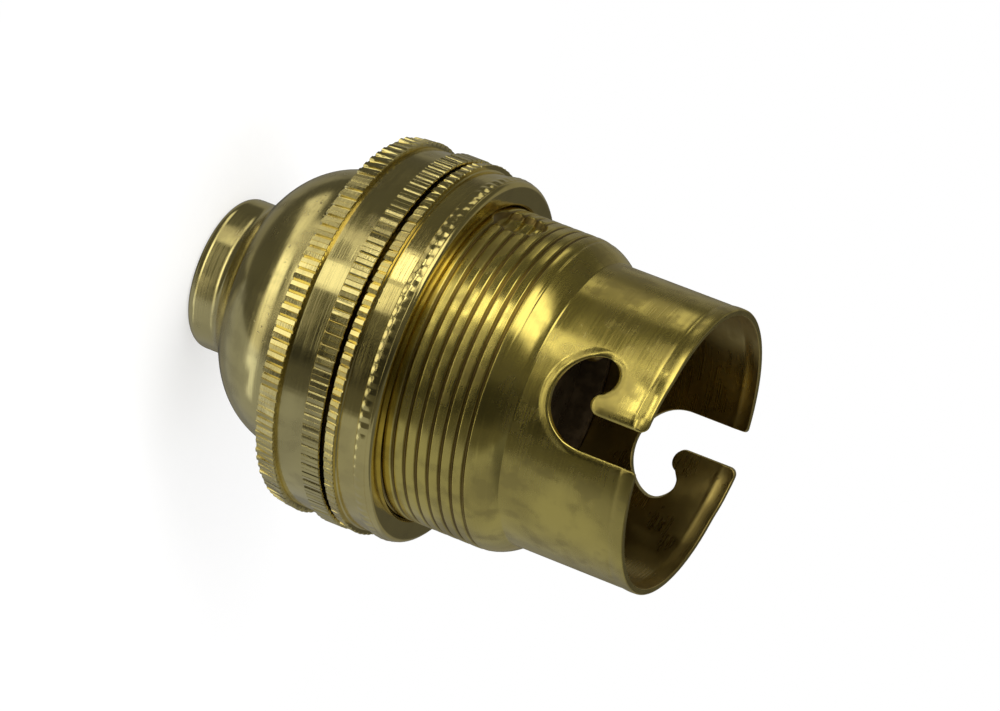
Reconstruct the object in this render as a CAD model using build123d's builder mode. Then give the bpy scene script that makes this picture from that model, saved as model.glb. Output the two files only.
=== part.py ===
"""A two pin bayonet lamp holder of the 22 mm pattern, in turned and pressed brass.

The holder stands on the end of its neck. The origin is the centre of that end face, +Z runs
along the axis through the dome, the flange, the shade ring and the skirt to the mouth, and
the two J slots open at -Y and +Y. All sizes are in millimetres.
"""

from build123d import *
from math import asin, cos, degrees, radians, sin, sqrt, tan
import os

os.makedirs("parts", exist_ok=True)

# Cap: neck, dome and flange
entry_radius = 4.5
entry_length = 8.4
neck_radius = 6.35
neck_end_chamfer = 0.7
flare_angle = 55.5
dome_radius = 11.85
dome_profile_radius = 7.2
dome_height = 12.05
dome_land = 1.45
chamber_radius = 10.6
back_knurl_width = 1.7
band_width = 2.45
front_knurl_width = 1.6
flange_wall = 2.0
flange_web = 0.95

# Knurling, shared by the flange and the shade ring
knurl_teeth = 100
knurl_height = 0.5
knurl_foot = 0.24
knurl_root = 0.6
knurl_crest_share = 0.55

# Shade ring
ring_gap = 0.35
ring_knurl_height = 0.45
ring_back_knurl = 0.9
ring_groove = 1.68
ring_front_knurl = 0.92
ring_lip = 0.45

# Skirt: thread, shoulder, barrel and slots
thread_wall = 0.85
thread_length = 14.9
thread_clearance = 0.1
skirt_recess = 0.2
thread_pitch = 1.027
thread_depth = 0.44
thread_crest_share = 0.2
thread_lead_in = 1.12
thread_end_gap = 0.62
thread_over_cut = 0.06
shoulder_profile_radius = 4.0
barrel_radius = 11.8
shoulder_drop = 1.25
inner_shoulder_step = 0.21
barrel_wall = 0.55
barrel_length = 10.7
bore_length = 10.3
slot_width = 3.0
slot_depth = 8.55
hook_radius = 3.72
pocket_radius = 1.45
tongue_depth = 5.2
tongue_tip_radius = 0.9
pocket_centre_angle = 197.1
pocket_corner_angle = 68.0
tongue_corner_angle = 200.0
profile_steps = 5
dimple_angle = 196.4
dimple_from_ring = 2.0
dimple_punch_radius = 3.6
dimple_depth = 0.85
dimple_wall = 0.55

# Insulator halves
insulator_clearance = 0.25
seat_clearance = 0.1
base_height = 4.7
face_below_rim = 15.1
rim_wall = 0.65
keyway_clearance = 0.25
plunger_pitch_radius = 6.25
plunger_step = 2.0
plunger_clearance = 0.1

# Contact plungers and their springs
plunger_below_rim = 10.4
plunger_radius = 2.3
plunger_tip_chamfer = 0.6
plunger_tip_wall = 1.3
collar_radius = 3.0
collar_height = 1.2
plunger_travel = 4.5
plunger_bore_radius = 1.8
spring_radius = 1.65
spring_wire = 0.42

# Terminals
terminal_radius = 2.4
terminal_tail = 2.1
terminal_flange_radius = 2.8
terminal_flange_height = 0.6
terminal_fit = 0.05
spigot_radius = 1.1
spigot_height = 0.8
wire_hole_radius = 0.8
wire_hole_from_end = 1.05
clamp_thread_radius = 1.1
clamp_screw_length = 1.6
clamp_head_radius = 1.5
clamp_head_height = 0.9
clamp_head_gap = 0.2
screw_fit = 0.05
slot_cut_width = 0.45
slot_cut_depth = 0.4

# Centre screw, nut and washer
centre_screw_radius = 1.5
centre_bore_radius = 1.6
centre_head_radius = 2.6
centre_head_height = 1.4
centre_recess_radius = 2.8
centre_recess_depth = 1.7
nut_across_flats = 5.5
nut_height = 1.8
nut_pocket_depth = 2.6
nut_pocket_clearance = 0.1
washer_radius = 2.6
washer_height = 0.4

# Earth plate, screw and washer
earth_plate_height = 0.6
earth_plate_clearance = 0.25
earth_plate_inner_radius = 9.3
tongue_width = 5.0
tongue_reach = 4.7
earth_screw_at = 7.0
earth_screw_radius = 1.2
earth_screw_length = 1.6
earth_head_radius = 1.9
earth_head_height = 1.1
earth_washer_radius = 2.2
earth_washer_height = 0.5
earth_pocket_radius = 2.5
earth_pocket_depth = 3.9

# Heights along the axis, worked out from the sizes above
back_knurl_top = dome_height + back_knurl_width
front_knurl_base = back_knurl_top + band_width
cap_height = front_knurl_base + front_knurl_width
cap_seat = dome_height + flange_web
plate_top = cap_seat + earth_plate_height
base_rear = plate_top + seat_clearance
skirt_base = base_rear + skirt_recess
split_height = base_rear + base_height
shoulder_base = skirt_base + thread_length
shoulder_length = sqrt(shoulder_profile_radius**2 - (shoulder_profile_radius - shoulder_drop) ** 2)
barrel_base = shoulder_base + shoulder_length
rim_height = barrel_base + barrel_length
face_height = rim_height - face_below_rim
tip_height = rim_height - plunger_below_rim
ring_base = cap_height + ring_gap
ring_height = ring_back_knurl + ring_groove + ring_front_knurl + ring_lip
ring_top = ring_base + ring_height

# Radii that follow from a neighbour
thread_radius = barrel_radius + shoulder_drop
skirt_bore = thread_radius - thread_wall
barrel_bore = barrel_radius - barrel_wall
thread_bore = thread_radius + thread_clearance
band_radius = thread_bore + flange_wall
insulator_radius = skirt_bore - insulator_clearance

# Directions about the axis: the lamp's pins lock in the pockets, the contacts lie square to them
slot_angle = 270.0
outer_arc_x = slot_width / 2 - hook_radius
pocket_offset = hook_radius - pocket_radius
pocket_arc_x = outer_arc_x + pocket_offset * cos(radians(pocket_centre_angle))
locked_turn = degrees(asin(pocket_arc_x / barrel_radius))
earth_angle = slot_angle + locked_turn - 180
contact_angles = {"a": slot_angle + locked_turn - 90, "b": slot_angle + locked_turn + 90}


def on_circle(radius, angle):
    """A point at a radius and an angle in degrees about the axis."""
    return (radius * cos(radians(angle)), radius * sin(radians(angle)))


def knurl_points(crest_radius):
    """The outline of a straight knurl: flat crests with a V groove between each pair."""
    step = 360 / knurl_teeth
    half_crest = step * knurl_crest_share / 2
    points = []
    for tooth in range(knurl_teeth):
        centre = tooth * step
        points.append(on_circle(crest_radius, centre - half_crest))
        points.append(on_circle(crest_radius, centre + half_crest))
        points.append(on_circle(band_radius + knurl_foot, centre + step / 2))
    return points


def arc_points(centre, radius, start, end):
    """Points along a profile arc, from one angle to the other."""
    turn = (end - start) / profile_steps
    angles = [start + turn * step for step in range(profile_steps + 1)]
    return [(centre[0] + x, centre[1] + y) for x, y in (on_circle(radius, a) for a in angles)]


# Cap: the neck and dome are one turned section, with the knurled bands left standing on it
dome_arc_centre = (dome_radius - dome_profile_radius, dome_height - dome_land)
dome_arc = arc_points(dome_arc_centre, dome_profile_radius, -flare_angle, 0)
neck_corner = dome_arc[0][1] - (dome_arc[0][0] - neck_radius) / tan(radians(flare_angle))
with BuildPart() as cap:
    with BuildSketch(Plane.XZ):
        with BuildLine():
            Polyline(
                (entry_radius, 0),
                (neck_radius - neck_end_chamfer, 0),
                (neck_radius, neck_end_chamfer),
                (neck_radius, neck_corner),
                *dome_arc,
                (dome_radius, dome_height),
                (band_radius, dome_height),
                (band_radius, cap_height),
                (thread_bore, cap_height),
                (thread_bore, cap_seat),
                (chamber_radius, cap_seat),
                (chamber_radius, entry_length),
                (entry_radius, entry_length),
                close=True,
            )
        make_face()
    revolve(axis=Axis.Z)
    for knurl_base, knurl_width in (
        (dome_height, back_knurl_width),
        (front_knurl_base, front_knurl_width),
    ):
        with BuildSketch(Plane.XY.offset(knurl_base)):
            with BuildLine():
                Polyline(*knurl_points(band_radius + knurl_height), close=True)
            make_face()
            Circle(band_radius - knurl_root, mode=Mode.SUBTRACT)
        extrude(amount=knurl_width)
cap.part.label = "cap"

# Shade ring: two knurled bands beside a plain groove, and a bevelled front lip
with BuildPart() as shade_ring:
    with BuildSketch(Plane.XZ):
        with BuildLine():
            Polyline(
                (thread_bore, ring_base),
                (band_radius, ring_base),
                (band_radius, ring_top - ring_lip),
                (band_radius - ring_lip, ring_top),
                (thread_bore, ring_top),
                close=True,
            )
        make_face()
    revolve(axis=Axis.Z)
    for knurl_base, knurl_width in (
        (ring_base, ring_back_knurl),
        (ring_base + ring_back_knurl + ring_groove, ring_front_knurl),
    ):
        with BuildSketch(Plane.XY.offset(knurl_base)):
            with BuildLine():
                Polyline(*knurl_points(band_radius + ring_knurl_height), close=True)
            make_face()
            Circle(band_radius - knurl_root, mode=Mode.SUBTRACT)
        extrude(amount=knurl_width)
shade_ring.part.label = "shade_ring"

# Skirt's thread: a V groove on a right hand helix, from below the tube's end to just short of its shoulder
helix_base = skirt_base - thread_lead_in
helix_height = shoulder_base - thread_end_gap - helix_base
groove_half_width = thread_pitch * (1 - thread_crest_share) / 2
groove_mouth = groove_half_width * (1 + thread_over_cut / thread_depth)
with BuildPart() as thread_groove:
    with BuildLine():
        helix = Helix(
            pitch=thread_pitch,
            height=helix_height,
            radius=thread_radius,
            center=(0, 0, helix_base),
        )
    with BuildSketch(Plane.XZ):
        with BuildLine():
            Polyline(
                (thread_radius + thread_over_cut, helix_base + groove_mouth),
                (thread_radius - thread_depth, helix_base),
                (thread_radius + thread_over_cut, helix_base - groove_mouth),
                close=True,
            )
        make_face()
    sweep(path=helix, is_frenet=True)

# Skirt: one pressed tube, wide where it is threaded and narrow at the barrel
shoulder_centre = (thread_radius - shoulder_profile_radius, shoulder_base)
shoulder_angle = degrees(asin(shoulder_length / shoulder_profile_radius))
bore_base = rim_height - bore_length
inner_shoulder_base = shoulder_base + inner_shoulder_step
with BuildPart() as skirt:
    with BuildSketch(Plane.XZ):
        with BuildLine():
            Polyline(
                (skirt_bore, skirt_base),
                (thread_radius, skirt_base),
                *arc_points(shoulder_centre, shoulder_profile_radius, 0, shoulder_angle),
                (barrel_radius, rim_height),
                (barrel_bore, rim_height),
                (barrel_bore, bore_base),
                (skirt_bore, inner_shoulder_base),
                close=True,
            )
        make_face()
    revolve(axis=Axis.Z)
    # The locating dimple is pushed in by a ball ended punch, so it stands out inside
    dimple_height = ring_top + dimple_from_ring
    dimple_reach = thread_radius - dimple_depth + dimple_punch_radius
    dimple_centre = (*on_circle(dimple_reach, dimple_angle), dimple_height)
    with Locations(dimple_centre):
        Sphere(radius=dimple_punch_radius + dimple_wall)
    with BuildSketch(Plane.XY.offset(dimple_height - dimple_punch_radius - 1)):
        Circle(thread_radius + 2 * dimple_punch_radius + 2)
        Circle(thread_radius, mode=Mode.SUBTRACT)
    extrude(amount=2 * dimple_punch_radius + 2, mode=Mode.SUBTRACT)
    with Locations(dimple_centre):
        Sphere(radius=dimple_punch_radius, mode=Mode.SUBTRACT)
    add(thread_groove.part, mode=Mode.SUBTRACT)
    # Each J slot is one straight punch through the barrel wall
    outer_arc_height = rim_height - (slot_depth - hook_radius)
    pocket_arc_height = outer_arc_height + pocket_offset * sin(radians(pocket_centre_angle))
    tip_arc_x = -slot_width / 2 - tongue_tip_radius
    tip_arc_height = rim_height - tongue_depth + tongue_tip_radius
    above_rim = rim_height + 1
    for turn in (0, 180):
        punch_plane = Plane.XZ.rotated((0, 0, turn)).offset(barrel_radius + 1)
        with BuildSketch(punch_plane):
            with BuildLine():
                right_edge = Line((slot_width / 2, above_rim), (slot_width / 2, outer_arc_height))
                outer_arc = CenterArc(
                    center=(outer_arc_x, outer_arc_height),
                    radius=hook_radius,
                    start_angle=0,
                    arc_size=pocket_centre_angle - 360,
                )
                pocket_arc = CenterArc(
                    center=(pocket_arc_x, pocket_arc_height),
                    radius=pocket_radius,
                    start_angle=pocket_centre_angle,
                    arc_size=pocket_corner_angle - pocket_centre_angle,
                )
                tip_arc = CenterArc(
                    center=(tip_arc_x, tip_arc_height),
                    radius=tongue_tip_radius,
                    start_angle=tongue_corner_angle,
                    arc_size=360 - tongue_corner_angle,
                )
                Line(pocket_arc @ 1, tip_arc @ 0)
                Line(tip_arc @ 1, (-slot_width / 2, above_rim))
                Line((-slot_width / 2, above_rim), (slot_width / 2, above_rim))
            make_face()
        extrude(amount=-(barrel_radius / 2), mode=Mode.SUBTRACT)
skirt.part.label = "skirt"

# Front insulator: a cup that seats in the skirt's shoulder and guides both plungers
shoulder_slope = (bore_base - inner_shoulder_base) / (skirt_bore - barrel_bore)
rim_top = inner_shoulder_base + (insulator_clearance - seat_clearance) * shoulder_slope
plunger_guide = plunger_radius + plunger_clearance
spring_room = collar_radius + plunger_clearance
step_height = face_height - plunger_step
contact_spots = [on_circle(plunger_pitch_radius, angle) for angle in contact_angles.values()]
with BuildPart() as insulator_body:
    with BuildSketch(Plane.XY.offset(split_height)):
        Circle(insulator_radius)
    extrude(amount=rim_top - split_height)
    with BuildSketch(Plane.XY.offset(face_height)):
        Circle(insulator_radius - rim_wall)
    extrude(amount=rim_top - face_height, mode=Mode.SUBTRACT)
    with BuildSketch(Plane.XY.offset(split_height)):
        with Locations(*contact_spots):
            Circle(spring_room)
    extrude(amount=step_height - split_height, mode=Mode.SUBTRACT)
    with BuildSketch(Plane.XY.offset(step_height)):
        with Locations(*contact_spots):
            Circle(plunger_guide)
    extrude(amount=plunger_step, mode=Mode.SUBTRACT)
    with BuildSketch(Plane.XY.offset(split_height)):
        Circle(centre_bore_radius)
    extrude(amount=face_height - split_height, mode=Mode.SUBTRACT)
    with BuildSketch(Plane.XY.offset(face_height)):
        Circle(centre_recess_radius)
    extrude(amount=-centre_recess_depth, mode=Mode.SUBTRACT)
    # Keyway for the skirt's dimple, open towards the mouth
    bump_radius = dimple_punch_radius + dimple_wall + keyway_clearance
    bump_inner = dimple_reach - bump_radius
    bump_half_width = sqrt(bump_radius**2 - (dimple_reach - insulator_radius) ** 2)
    keyway_base = dimple_height - bump_half_width
    with BuildSketch(Plane.XY.offset(keyway_base)):
        with Locations(Location((0, 0), dimple_angle)):
            with Locations((insulator_radius, 0)):
                Rectangle(2 * (insulator_radius - bump_inner), 2 * bump_half_width)
    extrude(amount=rim_top - keyway_base, mode=Mode.SUBTRACT)
insulator_body.part.label = "insulator_body"

# Rear insulator: a disc that carries the terminals, the nut and the pocket for the earth screw
with BuildPart() as insulator_base:
    with BuildSketch(Plane.XY.offset(base_rear)):
        Circle(insulator_radius)
        with Locations(*contact_spots):
            Circle(terminal_radius + terminal_fit, mode=Mode.SUBTRACT)
        Circle(centre_bore_radius, mode=Mode.SUBTRACT)
    extrude(amount=base_height)
    with BuildSketch(Plane.XY.offset(base_rear)):
        RegularPolygon(
            nut_across_flats / 2 + nut_pocket_clearance,
            side_count=6,
            major_radius=False,
            rotation=contact_angles["a"],
        )
    extrude(amount=nut_pocket_depth, mode=Mode.SUBTRACT)
    with BuildSketch(Plane.XY.offset(base_rear)):
        with Locations(on_circle(earth_screw_at, earth_angle)):
            Circle(earth_pocket_radius)
    extrude(amount=earth_pocket_depth, mode=Mode.SUBTRACT)
insulator_base.part.label = "insulator_base"

# Centre screw, with its washer and nut against the floor of the nut pocket
centre_head_base = face_height - centre_recess_depth
washer_base = base_rear + nut_pocket_depth - washer_height
nut_base = washer_base - nut_height
with BuildPart() as insulator_screw:
    with BuildSketch(Plane.XY.offset(nut_base)):
        Circle(centre_screw_radius)
    extrude(amount=centre_head_base - nut_base)
    with BuildSketch(Plane.XY.offset(centre_head_base)):
        Circle(centre_head_radius)
    extrude(amount=centre_head_height)
    with BuildSketch(Plane.XY.offset(centre_head_base + centre_head_height)):
        Rectangle(2 * centre_head_radius, slot_cut_width)
    extrude(amount=-slot_cut_depth, mode=Mode.SUBTRACT)
insulator_screw.part.label = "insulator_screw"

with BuildPart() as insulator_nut:
    with BuildSketch(Plane.XY.offset(nut_base)):
        RegularPolygon(
            nut_across_flats / 2,
            side_count=6,
            major_radius=False,
            rotation=contact_angles["a"],
        )
        Circle(centre_screw_radius + screw_fit, mode=Mode.SUBTRACT)
    extrude(amount=nut_height)
insulator_nut.part.label = "insulator_nut"

with BuildPart() as insulator_washer:
    with BuildSketch(Plane.XY.offset(washer_base)):
        Circle(washer_radius)
        Circle(centre_screw_radius + screw_fit, mode=Mode.SUBTRACT)
    extrude(amount=washer_height)
insulator_washer.part.label = "insulator_washer"

# Contacts: terminal pillar, clamp screw, spring and hollow plunger on each side
terminal_end = base_rear - terminal_tail
wire_hole_height = terminal_end + wire_hole_from_end
clamp_hole_top = wire_hole_height + wire_hole_radius
spring_base = split_height + terminal_flange_height
collar_base = step_height - collar_height
spring_top = tip_height - plunger_tip_wall
clamp_head_top = terminal_end - clamp_head_gap
clamp_head_base = clamp_head_top - clamp_head_height
for side, contact_angle in contact_angles.items():
    spot = on_circle(plunger_pitch_radius, contact_angle)

    with BuildPart() as terminal:
        with BuildSketch(Plane.XY.offset(terminal_end)):
            with Locations(spot):
                Circle(terminal_radius)
        extrude(amount=split_height - terminal_end)
        with BuildSketch(Plane.XY.offset(split_height)):
            with Locations(spot):
                Circle(terminal_flange_radius)
        extrude(amount=terminal_flange_height)
        with BuildSketch(Plane.XY.offset(spring_base)):
            with Locations(spot):
                Circle(spigot_radius)
        extrude(amount=spigot_height)
        with BuildSketch(Plane.XY.offset(terminal_end)):
            with Locations(spot):
                Circle(clamp_thread_radius + screw_fit)
        extrude(amount=clamp_hole_top - terminal_end, mode=Mode.SUBTRACT)
        wire_plane = Plane(
            origin=(*spot, wire_hole_height),
            x_dir=(0, 0, 1),
            z_dir=(*on_circle(1, contact_angle), 0),
        )
        with BuildSketch(wire_plane):
            Circle(wire_hole_radius)
        extrude(amount=terminal_radius + 1, both=True, mode=Mode.SUBTRACT)
    terminal.part.label = f"terminal_{side}"

    with BuildPart() as terminal_screw:
        with BuildSketch(Plane.XY.offset(clamp_head_base)):
            with Locations(spot):
                Circle(clamp_head_radius)
        extrude(amount=clamp_head_height)
        with BuildSketch(Plane.XY.offset(clamp_head_top)):
            with Locations(spot):
                Circle(clamp_thread_radius)
        extrude(amount=clamp_screw_length)
        with BuildSketch(Plane.XY.offset(clamp_head_base)):
            with Locations(spot):
                Rectangle(2 * clamp_head_radius, slot_cut_width)
        extrude(amount=slot_cut_depth, mode=Mode.SUBTRACT)
    terminal_screw.part.label = f"terminal_screw_{side}"

    with BuildPart() as plunger:
        with BuildSketch(Plane.XY.offset(collar_base)):
            with Locations(spot):
                Circle(collar_radius)
        extrude(amount=collar_height)
        with BuildSketch(Plane.XY.offset(step_height)):
            with Locations(spot):
                Circle(plunger_radius)
        extrude(amount=tip_height - step_height)
        chamfer(plunger.edges().group_by(Axis.Z)[-1], plunger_tip_chamfer)
        with BuildSketch(Plane.XY.offset(collar_base)):
            with Locations(spot):
                Circle(plunger_bore_radius)
        extrude(amount=spring_top - collar_base, mode=Mode.SUBTRACT)
    plunger.part.label = f"plunger_{side}"

    with BuildPart() as spring:
        with BuildSketch(Plane.XY.offset(spring_base)):
            with Locations(spot):
                Circle(spring_radius)
                Circle(spring_radius - spring_wire, mode=Mode.SUBTRACT)
        extrude(amount=spring_top - spring_base)
    spring.part.label = f"spring_{side}"

    export_step(terminal.part, f"parts/terminal_{side}.step")
    export_step(terminal_screw.part, f"parts/terminal_screw_{side}.step")
    export_step(plunger.part, f"parts/plunger_{side}.step")
    export_step(spring.part, f"parts/spring_{side}.step")

# Earth plate: a ring on the cap's seat with a tongue for the earth screw
earth_spot = on_circle(earth_screw_at, earth_angle)
with BuildPart() as earth_plate:
    with BuildSketch(Plane.XY.offset(cap_seat)):
        Circle(thread_bore - earth_plate_clearance)
        Circle(earth_plate_inner_radius, mode=Mode.SUBTRACT)
        with Locations(Location((0, 0), earth_angle)):
            with Locations(((earth_plate_inner_radius + tongue_reach + 1) / 2, 0)):
                Rectangle(earth_plate_inner_radius + 1 - tongue_reach, tongue_width)
        with Locations(earth_spot):
            Circle(earth_screw_radius + screw_fit, mode=Mode.SUBTRACT)
    extrude(amount=earth_plate_height)
earth_plate.part.label = "earth_plate"

washer_top = plate_top + earth_washer_height
with BuildPart() as earth_washer:
    with BuildSketch(Plane.XY.offset(plate_top)):
        with Locations(earth_spot):
            Circle(earth_washer_radius)
            Circle(earth_screw_radius + screw_fit, mode=Mode.SUBTRACT)
    extrude(amount=earth_washer_height)
earth_washer.part.label = "earth_washer"

with BuildPart() as earth_screw:
    with BuildSketch(Plane.XY.offset(cap_seat - earth_screw_length)):
        with Locations(earth_spot):
            Circle(earth_screw_radius)
    extrude(amount=washer_top - cap_seat + earth_screw_length)
    with BuildSketch(Plane.XY.offset(washer_top)):
        with Locations(earth_spot):
            Circle(earth_head_radius)
    extrude(amount=earth_head_height)
    with BuildSketch(Plane.XY.offset(washer_top + earth_head_height)):
        with Locations(earth_spot):
            Rectangle(2 * earth_head_radius, slot_cut_width)
    extrude(amount=-slot_cut_depth, mode=Mode.SUBTRACT)
earth_screw.part.label = "earth_screw"

export_step(cap.part, "parts/cap.step")
export_step(shade_ring.part, "parts/shade_ring.step")
export_step(skirt.part, "parts/skirt.step")
export_step(insulator_body.part, "parts/insulator_body.step")
export_step(insulator_base.part, "parts/insulator_base.step")
export_step(insulator_screw.part, "parts/insulator_screw.step")
export_step(insulator_nut.part, "parts/insulator_nut.step")
export_step(insulator_washer.part, "parts/insulator_washer.step")
export_step(earth_plate.part, "parts/earth_plate.step")
export_step(earth_washer.part, "parts/earth_washer.step")
export_step(earth_screw.part, "parts/earth_screw.step")

print("rim height", round(rim_height, 3), "contact angles", contact_angles)
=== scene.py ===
"""The looks of a brass bayonet lamp holder with a shade ring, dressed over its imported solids.

The holder stands on its neck with the mouth up. Sizes in the mesh classes are millimetres, and meshes
are written in metres in the frame of the solids. Sizes in the finishes are metres.
"""

import logging
from dataclasses import dataclass
from enum import Enum
from typing import Sequence

import bpy
import numpy as np
from mathutils import Matrix, Vector
from mathutils.geometry import delaunay_2d_cdt


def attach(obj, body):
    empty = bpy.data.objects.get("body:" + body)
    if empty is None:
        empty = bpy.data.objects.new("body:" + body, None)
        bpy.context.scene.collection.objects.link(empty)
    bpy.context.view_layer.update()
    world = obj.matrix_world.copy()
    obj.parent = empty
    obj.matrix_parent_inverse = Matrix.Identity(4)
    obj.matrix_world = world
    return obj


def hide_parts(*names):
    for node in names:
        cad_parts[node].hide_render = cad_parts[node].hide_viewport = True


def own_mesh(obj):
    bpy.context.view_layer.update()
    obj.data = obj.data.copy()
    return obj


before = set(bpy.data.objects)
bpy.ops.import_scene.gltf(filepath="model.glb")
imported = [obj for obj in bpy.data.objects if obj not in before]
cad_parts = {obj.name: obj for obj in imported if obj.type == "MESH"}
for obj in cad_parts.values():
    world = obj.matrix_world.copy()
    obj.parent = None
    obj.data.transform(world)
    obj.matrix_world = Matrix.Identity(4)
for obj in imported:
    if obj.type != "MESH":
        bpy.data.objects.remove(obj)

log = logging.getLogger("lamp_holder")

MM = 0.001
TEETH = 100
COARSE_RING = 200
PLUNGER_RING = 64
STUDIO_RING = 96
WIRE_RING = 10
SHARP_ANGLE = 32.0
Profile = list[tuple[float, float]]
Colour = tuple[float, float, float]
Socket = bpy.types.NodeSocket


class Body(Enum):
    """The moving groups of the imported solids."""

    CAP = "cap_body"
    BARREL = "barrel"
    RING = "shade_ring_body"
    PLUNGER_A = "plunger_a_body"
    PLUNGER_B = "plunger_b_body"


class Slot(Enum):
    """The material slots that a new piece takes."""

    BRASS = "brass"
    INNER_BRASS = "brass_inner"
    SPRING = "spring_steel"


# Curves and rings


def arc(centre: tuple[float, float], radius: float, start: float, end: float, steps: int) -> Profile:
    """Points along a circular arc of a profile, ends included.

    Args:
        centre: The arc's centre as radius and height.
        radius: The arc's radius.
        start: First angle in degrees, from the outward direction towards up.
        end: Last angle in degrees.
        steps: Number of equal steps.

    Returns:
        Points as radius and height, each the centre plus the radius along its angle.
    """
    angles = np.radians(np.linspace(start, end, steps + 1))
    x = centre[0] + radius * np.cos(angles)
    y = centre[1] + radius * np.sin(angles)
    return list(zip(x.tolist(), y.tolist()))


def run(start: tuple[float, float], end: tuple[float, float], steps: int) -> Profile:
    """Evenly spaced points on a straight run of a profile, without its two ends."""
    share = np.linspace(0, 1, steps + 1)[1:-1]
    x = start[0] + (end[0] - start[0]) * share
    y = start[1] + (end[1] - start[1]) * share
    return list(zip(x.tolist(), y.tolist()))


def smooth_step(value: np.ndarray | float, low: float, high: float) -> np.ndarray:
    """Rises from 0 at low to 1 at high along the cubic 3t squared less 2t cubed."""
    share = np.clip((np.asarray(value, float) - low) / (high - low), 0, 1)
    return share * share * (3 - 2 * share)


def level_angles(count: int) -> np.ndarray:
    """Angles of a ring with evenly spaced points, in radians."""
    return np.arange(count) * 2 * np.pi / count


def ring_points(radius: np.ndarray | float, height: np.ndarray | float, angles: np.ndarray) -> np.ndarray:
    """One ring about the axis: x and y are the radius times the cosine and sine of the angle."""
    radius = np.broadcast_to(radius, angles.shape)
    height = np.broadcast_to(height, angles.shape)
    return np.stack([radius * np.cos(angles), radius * np.sin(angles), height], axis=1)


def unit(rows: np.ndarray) -> np.ndarray:
    """Each row divided by its length."""
    return rows / np.linalg.norm(rows, axis=1)[:, None]


def outward(angles: np.ndarray, across: np.ndarray, along: np.ndarray) -> np.ndarray:
    """Unit directions out of a wall: radial, less its slopes round the axis and along it."""
    x = np.cos(angles) + across * np.sin(angles)
    y = np.sin(angles) - across * np.cos(angles)
    return unit(np.stack([x, y, -along], axis=1))


def band_faces(first: int, count: int, second: int, closed: bool = True) -> np.ndarray:
    """Quads between two rows of the same number of points, given each row's first index."""
    here = np.arange(count if closed else count - 1)
    ahead = (here + 1) % count
    return np.stack([first + here, first + ahead, second + ahead, second + here], axis=1)


def fan_faces(first: int, count: int, second: int, other: int) -> np.ndarray:
    """Triangles between two rings, one with a whole number of times as many points as the other.

    Each coarse edge takes one triangle to the middle of its fine points, and each fine edge one to the
    nearer coarse point.

    Args:
        first: Index of the first ring's first point.
        count: Points in the first ring.
        second: Index of the second ring's first point.
        other: Points in the second ring.

    Returns:
        Triangles that face the same way as the quads of band_faces.
    """
    few, many = min(count, other), max(count, other)
    ratio = many // few
    step, fine = np.arange(few), np.arange(many)
    ahead, fine_ahead = (step + 1) % few, (fine + 1) % many
    middle = step * ratio + ratio // 2
    owner = (fine // ratio + (fine % ratio >= ratio // 2)) % few
    if count < other:
        long_sides = np.stack([first + step, first + ahead, second + middle], axis=1)
        short_sides = np.stack([first + owner, second + fine_ahead, second + fine], axis=1)
    else:
        long_sides = np.stack([first + middle, second + ahead, second + step], axis=1)
        short_sides = np.stack([first + fine, first + fine_ahead, second + owner], axis=1)
    return np.concatenate([long_sides, short_sides])


@dataclass
class Surface:
    """Points in millimetres, faces, and a normal for each point where one is known."""

    points: np.ndarray
    faces: list[np.ndarray]
    normals: np.ndarray

    @staticmethod
    def of(points: np.ndarray, faces: list[np.ndarray]) -> "Surface":
        """A surface whose normals are left to Blender."""
        return Surface(points, faces, np.full(points.shape, np.nan))

    def joined(self, *others: "Surface") -> "Surface":
        """This surface and the others as one."""
        shift, faces = 0, []
        for part in (self, *others):
            faces += [block + shift for block in part.faces]
            shift += len(part.points)
        points = np.concatenate([part.points for part in (self, *others)])
        normals = np.concatenate([part.normals for part in (self, *others)])
        return Surface(points, faces, normals)

    def welded(self) -> "Surface":
        """The same surface with points that share a place made one, and collapsed faces left out."""
        rounded = np.round(self.points, 5)
        _, kept, place = np.unique(rounded, axis=0, return_index=True, return_inverse=True)
        place = place.reshape(-1)
        faces = []
        for block in self.faces:
            block = place[block]
            sound = np.ones(len(block), bool)
            for side in range(block.shape[1]):
                sound &= block[:, side] != block[:, side - 1]
            faces.append(block[sound])
        return Surface(self.points[kept], faces, self.normals[kept])

    def turned(self, angle: float) -> "Surface":
        """The same surface turned about the axis by an angle in radians."""
        turn = np.array(Matrix.Rotation(angle, 3, "Z"))
        return Surface(self.points @ turn.T, self.faces, self.normals @ turn.T)

    def moved(self, x: float, y: float) -> "Surface":
        """The same surface moved sideways."""
        return Surface(self.points + np.array([x, y, 0.0]), self.faces, self.normals)

    def flipped(self) -> "Surface":
        """The same surface with its faces turned over."""
        return Surface(self.points, [block[:, ::-1] for block in self.faces], self.normals)

    def capped(self, count: int, ends: int = 2) -> "Surface":
        """The same surface with a fan over its first ring, or over its first and last ones.

        Args:
            count: Points in a ring.
            ends: 1 or 2 fans.

        Returns:
            The surface with a point in the middle of each closed ring.
        """
        here, total = np.arange(count), len(self.points)
        ahead = (here + 1) % count
        first = np.stack([np.full(count, total), ahead, here], axis=1)
        last = np.stack([np.full(count, total + 1), total - count + here, total - count + ahead], axis=1)
        middles = [self.points[:count].mean(0), self.points[-count:].mean(0)]
        points = np.concatenate([self.points, middles[:ends]])
        return Surface.of(points, self.faces + [first, last][:ends])


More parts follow.
